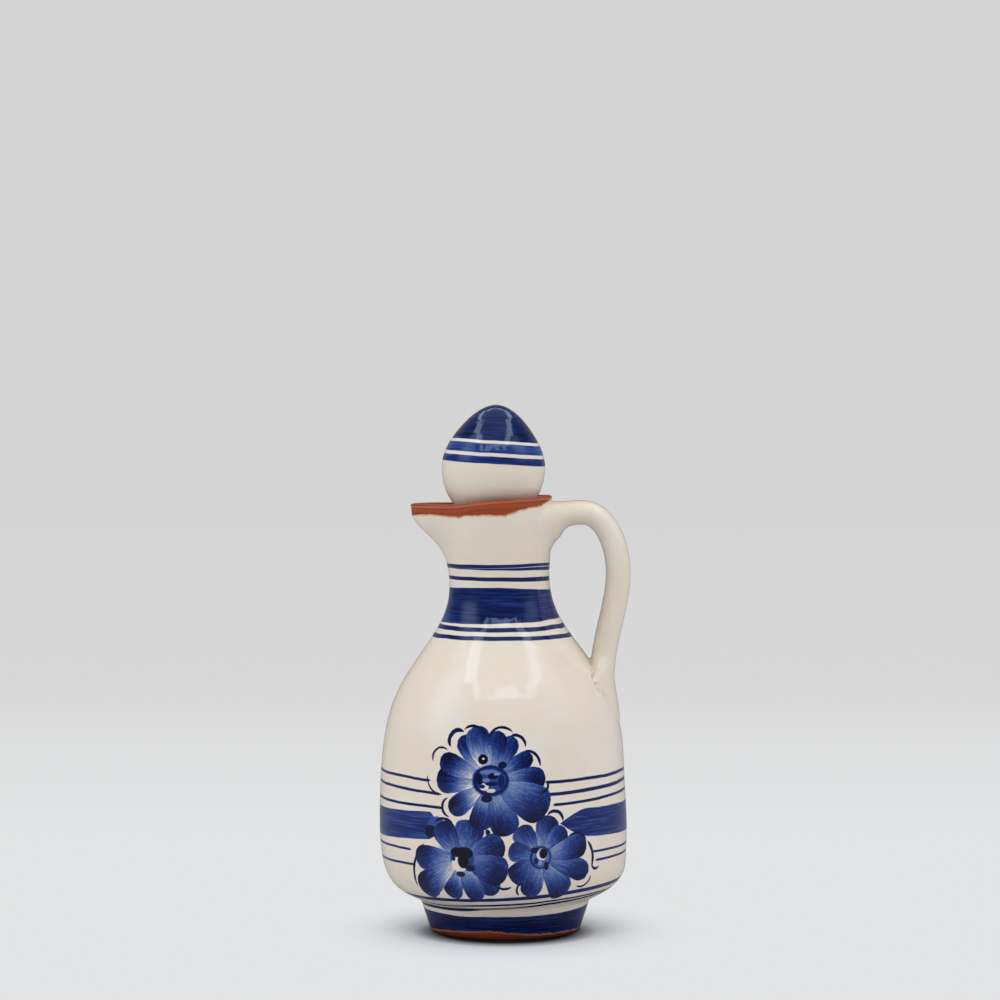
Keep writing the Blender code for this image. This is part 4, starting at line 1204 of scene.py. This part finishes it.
def makeSweep(form):
    # Floor and backdrop in one curved sheet
    bm = bmesh.new()
    points = [(form["front"], 0.0), (form["back"] - form["bend"], 0.0)]
    points += bezier(points[-1], (form["back"], 0.0), (form["back"], 0.0), (form["back"], form["bend"]), 12)
    points.append((form["back"], form["height"]))
    verts = [bm.verts.new((-form["halfWidth"], y, z)) for y, z in points]
    edges = [bm.edges.new(pair) for pair in zip(verts, verts[1:])]
    grown = bmesh.ops.extrude_edge_only(bm, edges=edges)["geom"]
    moved = [part for part in grown if isinstance(part, bmesh.types.BMVert)]
    bmesh.ops.translate(bm, vec=(2 * form["halfWidth"], 0.0, 0.0), verts=moved)
    material, add = newMaterial("matteSweep")
    where = add("TexCoord").outputs["Object"]
    path = add("LightPath").outputs
    # Seen straight on, the sweep fades from pale grey near the object to mid grey far behind
    depth = add("MapRange", [add("SeparateXYZ", [where]).outputs["Y"], *form["backdropDepth"]])
    ramp = add("ValToRGB", [depth])
    fillRamp(ramp, form["backdrop"])
    # Painted contact shadow: round the foot, a little towards the camera, the floor's colour darkens to near
    # black
    fromFoot = add("VectorMath LENGTH", [add("VectorMath ADD", [where, (0.0, form["contactShift"], 0.0)])])
    clear = add("MapRange", [fromFoot, *form["contact"]])
    paper = add("Mix RGBA", [path["Is Glossy Ray"], *map(linear, form["floor"])])
    diffuse = add("BsdfDiffuse", [add("Mix RGBA", [clear, form["contactShade"], paper])])
    beyond = add("MapRange", [fromFoot, *form["shadowReach"]], **eased)
    glow = add("Emission", [ramp, add("Mix", [path["Is Glossy Ray"], 1.0, form["sweepMirrored"]])])
    seen = add("Math MAXIMUM", [path["Is Camera Ray"], path["Is Glossy Ray"]])
    add("OutputMaterial", [add("MixShader", [add("Math MULTIPLY", [seen, beyond]), diffuse, glow])])
    meshPiece("sweep", bm, material)


def windowEdge(add, angle, ends, soft):
    away, half = fromMiddle(add, angle, ends)
    return add("MapRange", [away, half + soft, half - soft], **eased)


def windowPane(add, across, wide, up, tall, soft):
    return add("Math MULTIPLY", [windowEdge(add, across, wide, soft), windowEdge(add, up, tall, soft)])


def makeWorld(form):
    world = bpy.data.worlds.new("softRoom")
    add = emptyTree(world)
    where = add("TexCoord").outputs["Generated"]
    path = add("LightPath").outputs
    x, y, z = add("SeparateXYZ", [where]).outputs
    # The room brightens overhead and has its dark arch in front
    high = add("MapRange", [z, 0.0, 1.0, form["horizon"], form["zenith"]])
    up = add("MapRange", [z, form["archFoot"], form["archFoot"] + form["archTall"], 0.0, 1.0], clamp=False)
    across = add("Math DIVIDE", [x, form["archWide"]])
    total = add("Math MULTIPLY_ADD", [across, across, add("Math MULTIPLY", [up, up])])
    beyond = add("MapRange", [add("Math POWER", [total, 0.5]), *form["archEdge"]], **eased)
    lit = add("Math MAXIMUM", [beyond, add("MapRange", [y, *form["archBack"]])])
    level = add("Mix", [lit, form["dark"], high])
    # Degrees round the object and above the horizon, for the windows
    turn = add("Math ARCTAN2", [x, add("Math MULTIPLY", [y, -1.0])])
    around = add("Math DEGREES", [turn])
    wrapped = add("Math WRAP", [around, 310.0, -50.0])     # for the window behind, at 180 degrees
    above = add("Math DEGREES", [add("Math ARCSINE", [z])])
    mirrored = form["mirrored"]
    for window in windows:
        angle = wrapped if window["around"][1] > 180 else around
        glow = windowPane(add, angle, window["around"], above, window["above"], window["soft"])
        level = add("Math MULTIPLY_ADD", [glow, window["bright"], level])
        mirrored = add("Math MULTIPLY_ADD", [glow, window["mirrored"], mirrored])
    # The frame lamp lies flat overhead: a direction meets it at x / z across and y / z deep
    overhead = add("Math MAXIMUM", [z, form["lampLow"]])
    uneven = straying(add, where, 1 / form["lampFolds"], form["lampUneven"] / 2)
    foldX, foldY, _ = add("SeparateXYZ", [uneven]).outputs
    lampX = add("Math ADD", [foldX, add("Math DIVIDE", [x, overhead])])
    lampY = add("Math MULTIPLY_ADD", [foldY, 2.0, add("Math DIVIDE", [y, overhead])])
    for grown, bright in ((form["lampBar"], form["lampBright"]),
                          (-form["lampBar"], form["lampInside"] - form["lampBright"])):
        wide = (-form["lampWide"] - grown, form["lampWide"] + grown)
        deep = (form["lampDeep"][0] - grown, form["lampDeep"][1] + grown)
        pane = windowPane(add, lampX, wide, lampY, deep, form["lampSoft"])
        mirrored = add("Math MULTIPLY_ADD", [pane, bright, mirrored])
    level = add("Mix", [path["Is Glossy Ray"], level, mirrored])
    strength = add("Mix", [path["Is Camera Ray"], level, form["seen"]])
    cooler = add("MapRange", [add("Math ABSOLUTE", [x]), *form["coolFrom"]])
    tint = form["warmMiddle"]
    for share, colour in ((cooler, form["coolSide"]), (path["Is Glossy Ray"], form["coolMirrored"]),
                          (path["Is Camera Ray"], (1.0, 1.0, 1.0, 1.0))):
        tint = add("Mix RGBA", [share, tint, colour])
    add("OutputWorld", [add("Background", [tint, strength])])
    bpy.context.scene.world = world


def makeCamera(form):
    camera = bpy.data.cameras.new("camera")
    camera.lens = form["lens"]
    camera.sensor_width = form["sensor"]
    camera.clip_end = 50.0
    holder = bpy.data.objects.new("camera", camera)
    holder.location = form["place"]
    holder.rotation_euler = (math.radians(90 - form["down"]), 0.0, 0.0)
    bpy.context.scene.collection.objects.link(holder)
    bpy.context.scene.camera = holder


makeSweep(studio)
makeWorld(studio)
makeCamera(view)
bpy.context.scene.view_settings.view_transform = "Standard"
print("studio lit")
